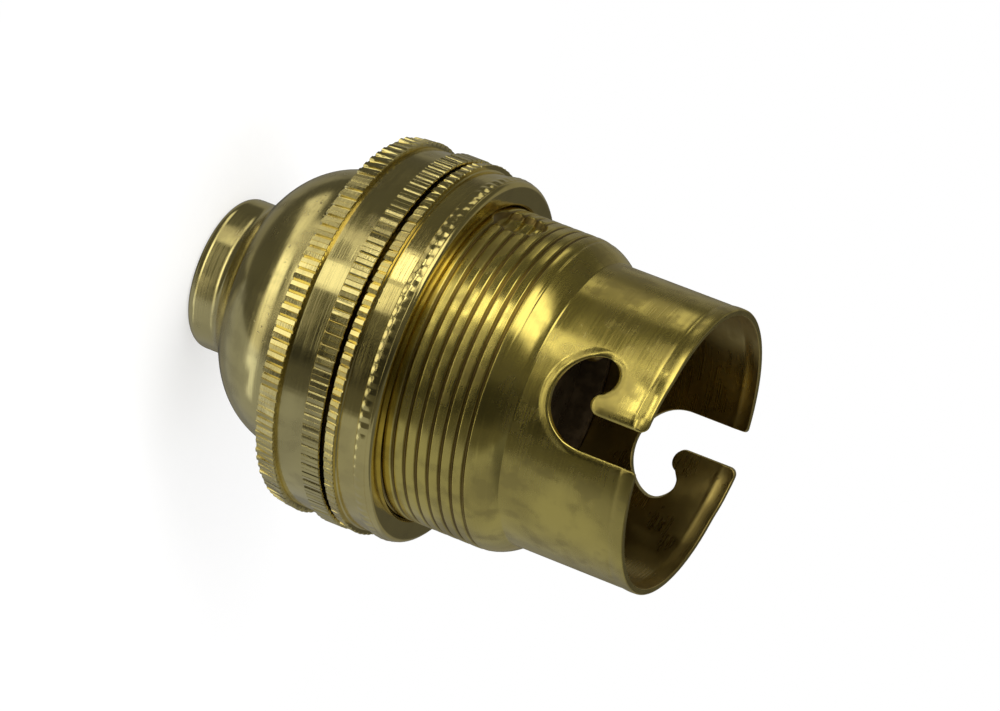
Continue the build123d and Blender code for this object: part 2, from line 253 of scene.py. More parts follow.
def lathe(rings: Sequence[np.ndarray], closed: bool = True) -> Surface:
    """Joins each ring to the next one, and the last to the first on a closed profile.

    Args:
        rings: Rings in order along the profile, outward side to the right of the way up.
        closed: Whether the profile comes back to its start.

    Returns:
        The surface as quads, with fans where a fine ring meets a coarse one.
    """
    starts = np.cumsum([0] + [len(r) for r in rings])
    faces = []
    for here in range(len(rings) if closed else len(rings) - 1):
        there = (here + 1) % len(rings)
        a, b = len(rings[here]), len(rings[there])
        if a == b:
            faces.append(band_faces(starts[here], a, starts[there]))
        else:
            faces.append(fan_faces(starts[here], a, starts[there], b))
    return Surface.of(np.concatenate(rings), faces)


def mesh_object(name: str, surface: Surface) -> bpy.types.Object:
    """Puts a surface into the scene as a mesh at the origin, with its own normals where it has them."""
    mesh = bpy.data.meshes.new(name)
    faces = [face for block in surface.faces for face in block.tolist()]
    mesh.from_pydata(np.round(surface.points * MM, 9), [], faces)
    mesh.validate()
    mesh.shade_smooth()
    known = ~np.isnan(surface.normals[:, 0])
    if known.any() and len(mesh.vertices) == len(surface.points):
        normals = np.zeros(len(mesh.vertices) * 3)
        mesh.vertex_normals.foreach_get("vector", normals)
        normals = normals.reshape(-1, 3)
        normals[known] = surface.normals[known]
        mesh.normals_split_custom_set_from_vertices(normals.tolist())
    else:
        mesh.set_sharp_from_angle(angle=np.radians(SHARP_ANGLE))
    made = bpy.data.objects.new(name, mesh)
    bpy.context.scene.collection.objects.link(made)
    return made


def dress(
    piece: bpy.types.Object, material: bpy.types.Material, body: Body, node: str
) -> bpy.types.Object:
    """Gives a piece its material, its body and the solid that it stands for.

    Args:
        piece: The new mesh object.
        material: Its finish.
        body: The body that it moves with.
        node: Name of the solid that it replaces.

    Returns:
        The same object.
    """
    piece.data.materials.append(material)
    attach(piece, body.value)
    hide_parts(node)
    log.info("%s: %d faces", piece.name, len(piece.data.polygons))
    return piece


# Shader graphs


class Graph:
    """Short calls for building a node tree."""

    def __init__(self, tree: bpy.types.NodeTree) -> None:
        """Clears the tree and keeps it."""
        self.tree = tree
        tree.nodes.clear()

    def add(self, kind: str, inputs: dict | None = None, **settings: object) -> bpy.types.Node:
        """Adds a node of a kind, sets its properties and feeds its inputs by name or number."""
        node = self.tree.nodes.new(kind)
        for name, value in settings.items():
            setattr(node, name, value)
        for name, value in (inputs or {}).items():
            self.feed(node.inputs[name], value)
        return node

    def feed(self, target: Socket, value: object) -> None:
        """Links a socket to a target, or sets the target's own value, where a colour is opaque."""
        if isinstance(value, Socket):
            self.tree.links.new(value, target)
        elif target.type == "RGBA":
            target.default_value = (*value, 1.0)
        else:
            target.default_value = value

    def math(self, operation: str, *values: object, clamp: bool = False) -> Socket:
        """A Math node's result."""
        inputs = dict(enumerate(values))
        return self.add("ShaderNodeMath", inputs, operation=operation, use_clamp=clamp).outputs[0]

    def vector(self, operation: str, result: str, *values: object) -> Socket:
        """A Vector Math node's result, named Vector or Value."""
        inputs = dict(enumerate(values))
        return self.add("ShaderNodeVectorMath", inputs, operation=operation).outputs[result]

    def noise(self, vector: Socket, scale: object, detail: float, roughness: float = 0.5) -> Socket:
        """A Noise texture's factor."""
        inputs = {"Vector": vector, "Scale": scale, "Detail": detail, "Roughness": roughness}
        return self.add("ShaderNodeTexNoise", inputs).outputs["Fac"]

    def spread(
        self, value: Socket, low: float, high: float, to_low: object = 0.0, to_high: object = 1.0
    ) -> Socket:
        """Maps a range to another, clamped, along a smooth step."""
        inputs = dict(enumerate((value, low, high, to_low, to_high)))
        return self.add("ShaderNodeMapRange", inputs, interpolation_type="SMOOTHSTEP").outputs[0]

    def blend(self, share: object, first: object, second: object, kind: str = "RGBA") -> Socket:
        """Mixes two colours, or two values where the kind is FLOAT."""
        inputs = {"Factor": share, "A": first, "B": second}
        return self.add("ShaderNodeMix", inputs, data_type=kind).outputs["Result"]

    def bump(self, distance: float, height: Socket, **inputs: Socket) -> Socket:
        """A Bump node's normal."""
        inputs = {"Distance": distance, "Height": height, **inputs}
        return self.add("ShaderNodeBump", inputs).outputs["Normal"]

    def place(self) -> Socket:
        """The object's own coordinates, in metres."""
        return self.add("ShaderNodeTexCoord").outputs["Object"]

    def parts(self, vector: Socket) -> bpy.types.NodeOutputs:
        """A vector's X, Y and Z."""
        return self.add("ShaderNodeSeparateXYZ", {0: vector}).outputs

    def seen(self) -> Socket:
        """1 for rays of the camera, reflected ones and transmitted ones, and 0 for the rest."""
        rays = self.add("ShaderNodeLightPath").outputs
        seen = self.math("MAXIMUM", rays["Is Camera Ray"], rays["Is Glossy Ray"])
        return self.math("MAXIMUM", seen, rays["Is Transmission Ray"])

    def surface(self, shader: bpy.types.Node, kind: str = "ShaderNodeOutputMaterial") -> None:
        """Links a shader to the tree's output."""
        self.add(kind, {"Surface": shader.outputs[0]})


def new_material(name: str) -> tuple[bpy.types.Material, Graph]:
    """A material and its empty graph."""
    material = bpy.data.materials.new(name)
    material.use_nodes = True
    return material, Graph(material.node_tree)


def new_group(
    name: str, inputs: dict[str, str], outputs: dict[str, str]
) -> tuple[Graph, dict[str, Socket], bpy.types.Node]:
    """Starts a shader node group with named sockets.

    Args:
        name: The group's name.
        inputs: Input names and their kinds, Float or Color.
        outputs: Output names and their kinds.

    Returns:
        Its graph, its input sockets by name, and its output node.
    """
    tree = bpy.data.node_groups.new(name, "ShaderNodeTree")
    for way, labels in (("INPUT", inputs), ("OUTPUT", outputs)):
        for label, kind in labels.items():
            tree.interface.new_socket(name=label, in_out=way, socket_type="NodeSocket" + kind)
    graph = Graph(tree)
    source = graph.add("NodeGroupInput")
    return graph, {label: source.outputs[label] for label in inputs}, graph.add("NodeGroupOutput")


def turning_marks_group() -> bpy.types.NodeTree:
    """Fine rings left by a lathe tool: noise over the radius and the height, nearly even round the axis."""
    graph, given, out = new_group(
        "TurningMarks", {"Pitch": "Float", "Waver": "Float"}, {"Height": "Float", "Streak": "Float"}
    )
    x, y, z = graph.parts(graph.place())
    squares = [graph.math("MULTIPLY", part, part) for part in (x, y)]
    radius = graph.math("SQRT", graph.math("ADD", *squares))
    sideways = graph.math("MULTIPLY", x, given["Waver"])
    across = graph.math("MULTIPLY", y, given["Waver"])
    along = {"X": graph.math("ADD", radius, sideways), "Y": graph.math("ADD", z, across), "Z": across}
    joined = graph.add("ShaderNodeCombineXYZ", along).outputs[0]
    scale = graph.math("DIVIDE", 1.0, given["Pitch"])
    fine = graph.noise(joined, scale, 3.0, 0.6)
    broad = graph.noise(joined, graph.math("MULTIPLY", scale, 0.23), 2.0)
    graph.feed(out.inputs["Height"], graph.math("ADD", fine, graph.math("MULTIPLY", broad, 0.6)))
    graph.feed(out.inputs["Streak"], graph.spread(fine, 0.38, 0.62))
    return graph.tree


def tarnish_group() -> bpy.types.NodeTree:
    """Dull cloudy patches and small specks that handling leaves on brass."""
    graph, given, out = new_group(
        "Tarnish",
        {"Clean": "Color", "Dull": "Color", "Amount": "Float", "Specks": "Float"},
        {"Color": "Color", "Dullness": "Float", "Pits": "Float"},
    )
    place = graph.place()
    cloud = graph.spread(graph.noise(place, 160.0, 2.5), 0.4, 0.68)
    smear = graph.spread(graph.noise(place, 620.0, 2.0), 0.45, 0.7, 0.0, 0.6)
    speck = graph.spread(graph.noise(place, 2900.0, 2.0), 0.66, 0.74)
    speck = graph.math("MULTIPLY", speck, given["Specks"])
    dull = graph.math("MULTIPLY", graph.math("ADD", cloud, smear), given["Amount"], clamp=True)
    share = graph.math("ADD", dull, graph.math("MULTIPLY", speck, 0.5), clamp=True)
    graph.feed(out.inputs["Color"], graph.blend(share, given["Clean"], given["Dull"]))
    graph.feed(out.inputs["Dullness"], share)
    graph.feed(out.inputs["Pits"], speck)
    return graph.tree


def hollow_group() -> bpy.types.NodeTree:
    """A mask that is 1 where a surface faces the axis and 0 where it faces away from it."""
    graph, _, out = new_group("FacesAxis", {}, {"Mask": "Float"})
    source = graph.add("ShaderNodeTexCoord").outputs
    flat = graph.vector("MULTIPLY", "Vector", source["Object"], (1.0, 1.0, 0.0))
    away = graph.vector("NORMALIZE", "Vector", flat)
    facing = graph.vector("DOT_PRODUCT", "Value", away, source["Normal"])
    graph.feed(out.inputs["Mask"], graph.spread(facing, -0.45, -0.1, 1.0, 0.0))
    return graph.tree


@dataclass(frozen=True)
class BrassFinish:
    """A turned or pressed brass surface."""

    name: str
    clean: Colour = (0.80, 0.66, 0.24)
    dull: Colour = (0.52, 0.42, 0.17)
    # Darker brass for surfaces that face the axis: partly a duller, tarnished inner side, partly painted
    # shade inside the hollows.
    inside: Colour = (0.55, 0.42, 0.13)
    # Painted shade: the dark brown that the thread's valleys are darkened towards.
    valley_shade: Colour = (0.2, 0.13, 0.04)
    roughness: float = 0.13
    roughest: float = 0.3
    mark_pitch: float = 0.00016
    mark_depth: float = 0.000006
    waver: float = 0.01
    wave_depth: float = 0.00003
    amount: float = 0.5
    specks: float = 0.5
    speck_low: float = -1.0
    speck_high: float = 1.0
    # Where the painted valley shade lies: just inside this radius and below this height.
    valley_shade_radius: float = 0.0
    valley_shade_top: float = 0.0292

    def valley_shade_mask(self, graph: Graph, place: Socket, height: Socket) -> Socket:
        """A mask of painted shade in the thread's valleys: just inside the shade radius and below its top.
        """
        radius = graph.vector("LENGTH", "Value", graph.vector("MULTIPLY", "Vector", place, (1.0, 1.0, 0.0)))
        edge, top = self.valley_shade_radius, self.valley_shade_top
        deep = graph.spread(radius, edge - 0.00005, edge + 0.00004, 0.85, 0.0)
        deep = graph.math("MULTIPLY", deep, graph.spread(radius, edge - 0.0005, edge - 0.00035))
        return graph.math("MULTIPLY", deep, graph.spread(height, top - 0.0003, top + 0.0003, 1.0, 0.0))

    def build(self, groups: dict[str, bpy.types.NodeTree]) -> bpy.types.Material:
        """Builds the material from the shared groups.

        Args:
            groups: The node groups for marks, tarnish and the hollow side.

        Returns:
            The new material.
        """
        material, graph = new_material(self.name)
        place = graph.place()
        height = graph.parts(place)["Z"]
        hollow = graph.add("ShaderNodeGroup", node_tree=groups["hollow"]).outputs["Mask"]
        outside = graph.math("SUBTRACT", 1.0, hollow)
        above = graph.spread(height, self.speck_low - 0.001, self.speck_low + 0.001, 0.0, self.specks)
        below = graph.spread(height, self.speck_high - 0.001, self.speck_high + 0.001, 1.0, 0.0)
        specks = graph.math("MULTIPLY", above, below)
        look = {"Clean": self.clean, "Dull": self.dull, "Amount": self.amount, "Specks": specks}
        aged = graph.add("ShaderNodeGroup", look, node_tree=groups["tarnish"]).outputs
        tool = {"Pitch": self.mark_pitch, "Waver": self.waver}
        turned = graph.add("ShaderNodeGroup", tool, node_tree=groups["marks"]).outputs
        marks = graph.math("SUBTRACT", turned["Height"], graph.math("MULTIPLY", aged["Pits"], 1.5))
        waves = graph.math("MULTIPLY", graph.noise(place, 260.0, 1.0, 0.4), outside)
        wavy = graph.bump(self.wave_depth, waves)
        normal = graph.bump(self.mark_depth, graph.math("MULTIPLY", marks, outside), Normal=wavy)
        colour, valley_shading = aged["Color"], 0.0
        # Painted shade: the thread's valleys are darkened towards a dark brown, with a little more
        # roughness there.
        if self.valley_shade_radius:
            valley_shading = graph.math("MULTIPLY", self.valley_shade_mask(graph, place, height), outside)
            colour = graph.blend(valley_shading, colour, self.valley_shade)
        streak = graph.spread(turned["Streak"], 0.0, 1.0, self.roughness, self.roughness + 0.05)
        rough = graph.spread(aged["Dullness"], 0.0, 1.0, 0.0, self.roughest - self.roughness)
        rough = graph.math("ADD", rough, graph.math("MULTIPLY", hollow, 0.1))
        rough = graph.math("ADD", rough, graph.math("MULTIPLY", valley_shading, 0.2))
        # Surfaces that face the axis take the darker inside colour: partly a duller inner side, partly
        # painted shade.
        inputs = {
            "Base Color": graph.blend(hollow, colour, self.inside),
            "Metallic": 1.0,
            "Roughness": graph.math("ADD", streak, rough),
            "Normal": normal,
        }
        graph.surface(graph.add("ShaderNodeBsdfPrincipled", inputs))
        return material


@dataclass(frozen=True)
class MottledFinish:
    """Two tones mixed by noise, with a fine grain: moulded phenolic, and plated or drawn steel."""

    name: str
    first: Colour
    second: Colour
    scale: float
    mix_low: float
    mix_high: float
    smoothest: float
    roughest: float
    grain_scale: float
    grain_depth: float
    metallic: float = 0.0

    def build(self) -> bpy.types.Material:
        """Builds the material from one noise for its tone and roughness and one for its grain."""
        material, graph = new_material(self.name)
        place = graph.place()
        mottle = graph.noise(place, self.scale, 4.0, 0.6)
        share = graph.spread(mottle, self.mix_low, self.mix_high)
        inputs = {
            "Base Color": graph.blend(share, self.first, self.second),
            "Metallic": self.metallic,
            "Roughness": graph.spread(mottle, 0.3, 0.7, self.smoothest, self.roughest),
            "Normal": graph.bump(self.grain_depth, graph.noise(place, self.grain_scale, 2.0)),
        }
        graph.surface(graph.add("ShaderNodeBsdfPrincipled", inputs))
        return material


def steel(name: str, tone: Colour, shade: Colour) -> bpy.types.Material:
    """Builds a steel of two greys, rougher where it has its second one."""
    return MottledFinish(name, tone, shade, 1400.0, 0.4, 0.65, 0.24, 0.39, 6000.0, 0.000006, 1.0).build()


# Knurled rings and the turned cap


@dataclass
class Knurl:
    """A straight knurl, one hundred teeth round: V grooves between crests of two flat facets each."""

    floor: float
    crest: float
    low: float
    high: float
    foot: float = 0.34
    end_bevel: float = 0.05
    end_height: float = 0.8
    taper: float = 0.0
    bead: float = 0.0
    ridge: float = 0.02
    notch: float = 0.03
    lean: float = 0.013
    least_cone: float = 0.3
    least_height: float = 0.02
    seed: int = 1

    @staticmethod
    def angles() -> np.ndarray:
        """Ten angles for each tooth: the notch in its crest, its two facets and flanks, and the root."""
        half = [0.0, 0.03, 0.38, 0.42, 0.46]
        pitch = np.array(half + [0.5] + [1 - share for share in half[:0:-1]])
        return ((np.arange(TEETH)[:, None] + pitch[None, :]) * 2 * np.pi / TEETH).reshape(-1)

    def teeth(self) -> np.ndarray:
        """Height of each of the ring's points above the band, from the groove's foot to the crest.

        A crest is a low roof with a fine notch along its ridge, and each one leans a little to one side
        or the other. A bead is a cosine instead.
        """
        full = self.crest - self.floor - self.foot
        if self.bead:
            return self.foot + full * (0.5 + 0.5 * np.cos(self.angles() * TEETH))
        share = np.tile([1.0, 1.0, 1.0, 0.55, 0.15, 0.0, 0.15, 0.55, 1.0, 1.0], TEETH)
        roof = np.tile(np.array([-self.notch, 0, -self.ridge, 0, 0, 0, 0, 0, -self.ridge, 0]), TEETH)
        place = np.array([0.0, 0.03, 0.38, 0.0, 0.0, 0.0, 0.0, 0.0, -0.38, -0.03])
        leans = np.random.default_rng(self.seed).uniform(-self.lean, self.lean, TEETH)
        leaning = (leans[:, None] * place[None, :] / place.max()).reshape(-1)
        return self.foot + full * share + roof + leaning

    def cones(self) -> np.ndarray:
        """How much of the taper each point takes: all of it, or a random share on every second facet."""
        share = np.ones((TEETH, 10))
        drawn = np.random.default_rng(self.seed + 10).uniform(self.least_cone, 1.0, TEETH)
        share[:, 1:3] = drawn[:, None]
        return share.reshape(-1)

    def rings(self) -> list[np.ndarray]:
        """Rings from the band's low end to its high end, each tooth bevelled or beaded at its ends.

        A tapered knurl is a cone: its teeth lose the taper at the low end and nothing at the high one.
        """
        angles, teeth, cones = self.angles(), self.teeth(), self.cones()
        if self.bead:
            rise = np.linspace(0, 1, 8)
            share = np.sin(np.pi * rise) * self.bead + (1 - self.bead)
            heights = self.low + (self.high - self.low) * rise
        else:
            heights = np.array([self.low, self.low + self.end_bevel, self.high - self.end_bevel, self.high])
            share = np.array([self.end_height, 1.0, 1.0, self.end_height])
        rings = [ring_points(self.floor, self.low, angles)]
        for part, height in zip(share, heights):
            lost = self.taper * cones * (self.high - height) / (self.high - self.low)
            radius = self.floor + np.maximum(part * teeth - lost, self.least_height)
            rings.append(ring_points(radius, height, angles))
        rings.append(ring_points(self.floor, self.high, angles))
        return rings


def coarse_rings(profile: Profile) -> list[np.ndarray]:
    """Rings of two hundred points through a profile of radii and heights."""
    angles = level_angles(COARSE_RING)
    return [ring_points(radius, height, angles) for radius, height in profile]


def fine_rings(profile: Profile) -> list[np.ndarray]:
    """Rings with the knurl's angles through a profile, for the bands between two knurls."""
    return [ring_points(radius, height, Knurl.angles()) for radius, height in profile]


def thread_rings(
    heights: np.ndarray,
    fades: np.ndarray,
    pitch: float,
    radius: float,
    depth: float,
    steep: float,
    shift: float,
) -> list[np.ndarray]:
    """Rings of a thread inside a bore.

    The radius changes by the depth times a raised cosine of the height over the pitch less the angle
    over a full turn. A steep cosine is cut off at 0 and 1, which leaves flats.

    Args:
        heights: A height for each ring, from the top down.
        fades: How much of the depth each ring has.
        pitch: Height of one turn.
        radius: The bore's radius where the thread has faded out.
        depth: Change of the radius at the thread's middle.
        steep: Half the cosine's height.
        shift: Share of a turn that the thread is ahead by.

    Returns:
        One ring for each height.
    """
    angles = level_angles(COARSE_RING)
    rings = []
    for height, fade in zip(heights, fades):
        phase = height / pitch - angles / (2 * np.pi) + shift
        ridge = np.clip(0.5 + steep * np.cos(2 * np.pi * phase), 0, 1)
        rings.append(ring_points(radius + depth * ridge * fade, height, angles))
    return rings


@dataclass
class Cap:
    """The turned cap: neck, flared dome and flange with two knurled bands."""

    entry_radius: float = 4.5
    entry_root: float = 4.95
    entry_pitch: float = 1.0
    entry_length: float = 8.4
    entry_chamfer: float = 0.12
    neck_radius: float = 6.35
    neck_rounding: float = 1.0
    neck_fillet: float = 1.2
    flare: float = 55.5
    dome_radius: float = 11.85
    dome_rounding: float = 7.2
    dome_land: float = 1.45
    flange_back: float = 12.05
    flange_inset: float = 0.2
    flange_fillet: float = 0.14
    band_radius: float = 15.15
    crest_radius: float = 15.65
    front_crest_radius: float = 15.57
    back_knurl_top: float = 13.75
    front_knurl_low: float = 16.2
    front: float = 17.8
    seat: float = 13.0
    thread_bore: float = 13.15
    chamber_radius: float = 10.6

    def outer_profile(self) -> Profile:
        """Neck end, neck, fillet, flare, dome and the flange's back face as tangent arcs and runs."""
        slope = np.tan(np.radians(self.flare))
        edge = self.neck_radius - self.neck_rounding
        dome_centre = (self.dome_radius - self.dome_rounding, self.flange_back - self.dome_land)
        dome = arc(dome_centre, self.dome_rounding, -self.flare, 0, 26)
        corner = dome[0][1] - (dome[0][0] - self.neck_radius) / slope
        reach = self.neck_fillet * np.tan(np.radians(self.flare / 2))
        fillet_centre = (self.neck_radius + self.neck_fillet, corner - reach)
        points = [(self.entry_root + self.entry_chamfer, 0.0)]
        points += run(points[0], (edge, 0.0), 2)
        points += arc((edge, self.neck_rounding), self.neck_rounding, -90, 0, 10)
        points += arc(fillet_centre, self.neck_fillet, 180, 180 - self.flare, 10)
        points += run(points[-1], dome[0], 5)
        points += dome
        top, small = self.flange_back, self.flange_fillet
        end = (self.band_radius - self.flange_inset, top)
        points += [(self.dome_radius, top - 0.3)]
        points += arc((self.dome_radius + small, top - small), small, 180, 90, 4)
        return points + run(points[-1], end, 4) + [end]

    def band_profile(self) -> Profile:
        """The plain band between the knurls, with a small relief groove at each end."""
        low, high, r = self.back_knurl_top, self.front_knurl_low, self.band_radius
        flat, groove = r + 0.02, r - 0.05
        points = [(r, low + 0.02), (groove, low + 0.04), (groove, low + 0.1), (flat, low + 0.15)]
        return points + [(flat, high - 0.15), (groove, high - 0.1), (groove, high - 0.04), (r, high - 0.02)]

    def inner_profile(self) -> Profile:
        """Front face, thread bore, seat and wiring chamber down to the entry."""
        front, bore, chamber, entry = self.front, self.thread_bore, self.chamber_radius, self.entry_length
        points = [(self.band_radius - self.flange_inset, front), (bore + 0.3, front), (bore, front - 0.2)]
        points += run(points[-1], (bore, self.seat), 5)
        points += [(bore, self.seat), (chamber, self.seat)]
        points += run(points[-1], (chamber, entry), 4)
        return points + [(chamber, entry), (self.entry_root, entry)]

    def entry_rings(self) -> list[np.ndarray]:
        """The entry's thread, from the chamber down to the neck's end, faded to its root at both ends."""
        heights = np.arange(self.entry_length - self.entry_chamfer, 0.1, -self.entry_pitch / 8)
        fades = smooth_step(heights, 0.1, 0.7) * smooth_step(self.entry_length - heights, 0.1, 0.7)
        depth = self.entry_radius - self.entry_root
        return thread_rings(heights, fades, self.entry_pitch, self.entry_root, depth, 0.8, 0.0)

    def build(self, material: bpy.types.Material) -> bpy.types.Object:
        """Makes the cap as one closed turned surface and dresses it."""
        r, front = self.band_radius, self.front
        back_knurl = Knurl(r, self.crest_radius, self.flange_back, self.back_knurl_top, taper=0.26)
        front_knurl = Knurl(r, self.front_crest_radius, self.front_knurl_low, front, foot=0.3, seed=2)
        rings = coarse_rings(self.outer_profile()) + back_knurl.rings() + fine_rings(self.band_profile())
        rings += front_knurl.rings() + coarse_rings(self.inner_profile()) + self.entry_rings()
        return dress(mesh_object("turned_cap", lathe(rings)), material, Body.CAP, "cap")


@dataclass
class ShadeRing:
    """The loose ring with a plain knurl, a flat groove and a beaded knurl."""

    bore: float = 13.15
    band_radius: float = 15.15
    crest_radius: float = 15.57
    bead_crest: float = 15.26
    back: float = 18.15
    back_knurl_top: float = 19.05
    front_knurl_low: float = 20.73
    front_knurl_top: float = 21.65
    front: float = 22.1
    groove_depth: float = 0.1
    thread_pitch: float = 1.027
    thread_depth: float = 0.35
    thread_phase: float = 0.054

    def groove_profile(self) -> Profile:
        """The groove between the knurls, flat with short steep sides."""
        low, high, r = self.back_knurl_top, self.front_knurl_low, self.band_radius
        floor = r - self.groove_depth
        points = [(r, low + 0.02), (floor, low + 0.1), (floor, low + 0.25)]
        return points + [(floor, high - 0.25), (floor, high - 0.1), (r - 0.02, high - 0.03)]

    def front_profile(self) -> Profile:
        """The plain end in front of the beads: its rounded edge, front face and the bore's rounding."""
        top, front, lip = self.front_knurl_top, self.front, self.front - self.front_knurl_top
        edge = self.band_radius - lip
        points = [(self.band_radius - 0.02, top + 0.03)] + arc((edge, top), lip, 12, 90, 8)
        points += run((edge, front), (self.bore + 0.3, front), 3)
        return points + arc((self.bore + 0.25, front - 0.2), 0.2, 90, 180, 4)

    def inner_rings(self) -> list[np.ndarray]:
        """The thread in the bore, from the front down, cut outwards from the bore's radius."""
        pitch, depth = self.thread_pitch, self.thread_depth
        heights = np.arange(self.front - 0.25, self.back + 0.2, -pitch / 10)
        fades = smooth_step(heights - self.back, 0.15, 0.6) * smooth_step(self.front - heights, 0.2, 0.6)
        return thread_rings(heights, fades, pitch, self.bore, depth, 0.5, self.thread_phase)

    def build(self, material: bpy.types.Material) -> bpy.types.Object:
        """Makes the ring as one closed turned surface and dresses it."""
        r, back, top = self.band_radius, self.back, self.front_knurl_top
        knurl = Knurl(r, self.crest_radius, back, self.back_knurl_top, foot=0.28, taper=0.16, seed=3)
        beads = Knurl(r, self.bead_crest, self.front_knurl_low, top, foot=0.05, bead=0.85)
        rings = coarse_rings([(self.bore + 0.05, back), (14.2, back), (r - 0.2, back)])
        rings += knurl.rings() + fine_rings(self.groove_profile()) + beads.rings()
        rings += coarse_rings(self.front_profile()) + self.inner_rings()
        rings += coarse_rings([(self.bore, back + 0.05)])
        piece = mesh_object("knurled_shade_ring", lathe(rings))
        return dress(piece, material, Body.RING, "shade_ring")


# The skirt: thread, dimple, shoulder and slotted barrel


@dataclass
class Skirt:
    """One drawn tube with a rolled thread, a pressed dimple and two J slots."""

    points_round: int = 240
    rings_per_pitch: int = 16
    base: float = 13.9
    rim: float = 42.405
    crest_radius: float = 13.05
    bore: float = 12.2
    pitch: float = 1.027
    thread_depth: float = 0.2
    thread_phase: float = 0.054
    thread_crest: float = 0.28
    thread_crown: float = 0.015
    thread_crushed: float = 0.5
    thread_run_in: float = 0.8
    thread_fading: float = 28.9
    thread_faded: float = 30.3
    thread_end: float = 30.4
    shoulder_low: float = 28.8
    shoulder_radius: float = 4.0
    barrel_radius: float = 11.8
    barrel_bore: float = 11.25
    inner_low: float = 29.0
    inner_high: float = 32.1
    seam: float = 32.6
    bead: float = 0.05
    bead_length: float = 1.3
    bead_shown: float = 0.88
    bead_groove: float = 0.018
    bead_groove_width: float = 0.16
    bead_groove_gap: float = 0.1
    rim_edge: float = 0.12
    slot_edge: float = 0.55
    slot_edge_drop: float = 0.2
    tongue_edge: float = 0.78
    dimple_angle: float = 196.4
    dimple_height: float = 24.1
    dimple_reach: float = 15.8
    dimple_punch: float = 3.6
    dimple_spread: float = 2.5
    dimple_rounding: float = 0.04
    gather: float = 0.55
    slot_half: float = 1.5
    hook_radius: float = 3.72
    hook_depth: float = 4.83
    pocket_radius: float = 1.45
    pocket_angle: float = 197.1
    pocket_end: float = 68.0
    tip_radius: float = 0.9
    tip_depth: float = 4.3
    tip_angle: float = 200.0
    mouth_corner: float = 0.35
    tongue_corner: float = 0.6
    line_step: float = 0.11
    fold_rise: float = 0.32
    fold_near: float = 0.4
    fold_far: float = 2.7
    fold_fading: float = 5.2
    fold_faded: float = 6.4
    bend_rise: float = 0.44
    bend_near: float = 2.2
    bend_far: float = 4.9
    bend_depth: float = 6.6
    bend_power: float = 1.3
    lip_height: float = 0.085
    lip_reach: float = 0.68
    lip_edge: float = 0.16
    lip_from: float = 5.3
    lip_full: float = 6.6
    punched_near: float = 0.65
    punched_far: float = 1.1

    def outer_radius(self, height: np.ndarray | float) -> np.ndarray:
        """Radius without thread: a cylinder, an arc down to the barrel, and a slight bell at the rim."""
        height = np.asarray(height, float)
        above = np.clip(height - self.shoulder_low, 0, self.shoulder_radius)
        shoulder = self.crest_radius - self.shoulder_radius + np.sqrt(self.shoulder_radius**2 - above**2)
        shoulder = np.maximum(shoulder, self.barrel_radius)
        return np.where(height > self.shoulder_low, shoulder, self.crest_radius) + self.rim_bead(height)

    def rim_bead(self, height: np.ndarray) -> np.ndarray:
        """The slight bulge that ends the barrel: half a sine wave, with a shallow groove below it."""
        above = height - self.rim + self.bead_length * self.bead_shown
        bulge = self.bead * np.sin(np.pi * np.clip(above / self.bead_length, 0, 1))
        off = (above + self.bead_groove_gap) / self.bead_groove_width
        return bulge - self.bead_groove * np.exp(-(off**2))

    def inner_radius(self, height: np.ndarray | float) -> np.ndarray:
        """Radius inside: the bore, a cone that follows the shoulder, and the barrel's bore."""
        height = np.asarray(height, float)
        share = np.clip((height - self.inner_low) / (self.inner_high - self.inner_low), 0, 1)
        return self.bore + (self.barrel_bore - self.bore) * share + self.rim_bead(height)

    def dent(self, angles: np.ndarray, height: float) -> np.ndarray:
        """How far the punch has pushed the wall in.

        The punch is a sphere outside the wall. Along each radial line its near side lies at the reach
        times the cosine of the angle, less the root of what is left of its radius, and the wall gives
        way by what that is short of the crest radius.
        """
        turn = angles - np.radians(self.dimple_angle)
        left = self.dimple_punch**2 - (self.dimple_reach * np.sin(turn)) ** 2
        left = left - (height - self.dimple_height) ** 2
        near = self.dimple_reach * np.cos(turn) - np.sqrt(np.clip(left, 0, None))
        depth = np.where((left > 0) & (np.cos(turn) > 0), self.crest_radius - near, 0)
        rounding = self.dimple_rounding
        return np.sqrt(np.clip(depth, 0, None) ** 2 + rounding**2) - rounding

    def thread(self, angles: np.ndarray, height: float) -> np.ndarray:
        """Depth of the rolled right hand thread below its crest.

        The phase is the height over the pitch less the angle over a full turn. The crest is broad and
        nearly flat, and the valley a smooth step to its middle. The punch leaves rounded lumps: there
        the depth is half of 1 less the cosine of the phase, and greater.
        """
        phase = height / self.pitch - angles / (2 * np.pi) + self.thread_phase
        fade = smooth_step(height, self.base, self.base + self.thread_run_in)
        fade = fade * (1 - smooth_step(height, self.thread_fading, self.thread_faded))
        away = np.abs(phase - np.round(phase))
        crown = self.thread_crown * np.minimum(away / self.thread_crest, 1) ** 2
        rolled = smooth_step(away, self.thread_crest, 0.5) + crown
        crushed = self.crushed(angles, height)
        wave = rolled + (0.5 - 0.5 * np.cos(2 * np.pi * phase) - rolled) * crushed
        return self.thread_depth * wave * fade * (1 + self.thread_crushed * crushed)

    def crushed(self, angles: np.ndarray, height: float) -> np.ndarray:
        """How far the punch has flattened the thread: 1 at the dimple's middle and 0 outside it."""
        turn = angles - np.radians(self.dimple_angle)
        across = self.crest_radius * np.sin(turn)
        near = (across**2 + (height - self.dimple_height) ** 2) / self.dimple_spread**2
        return np.clip(1 - near, 0, 1) * (np.cos(turn) > 0)

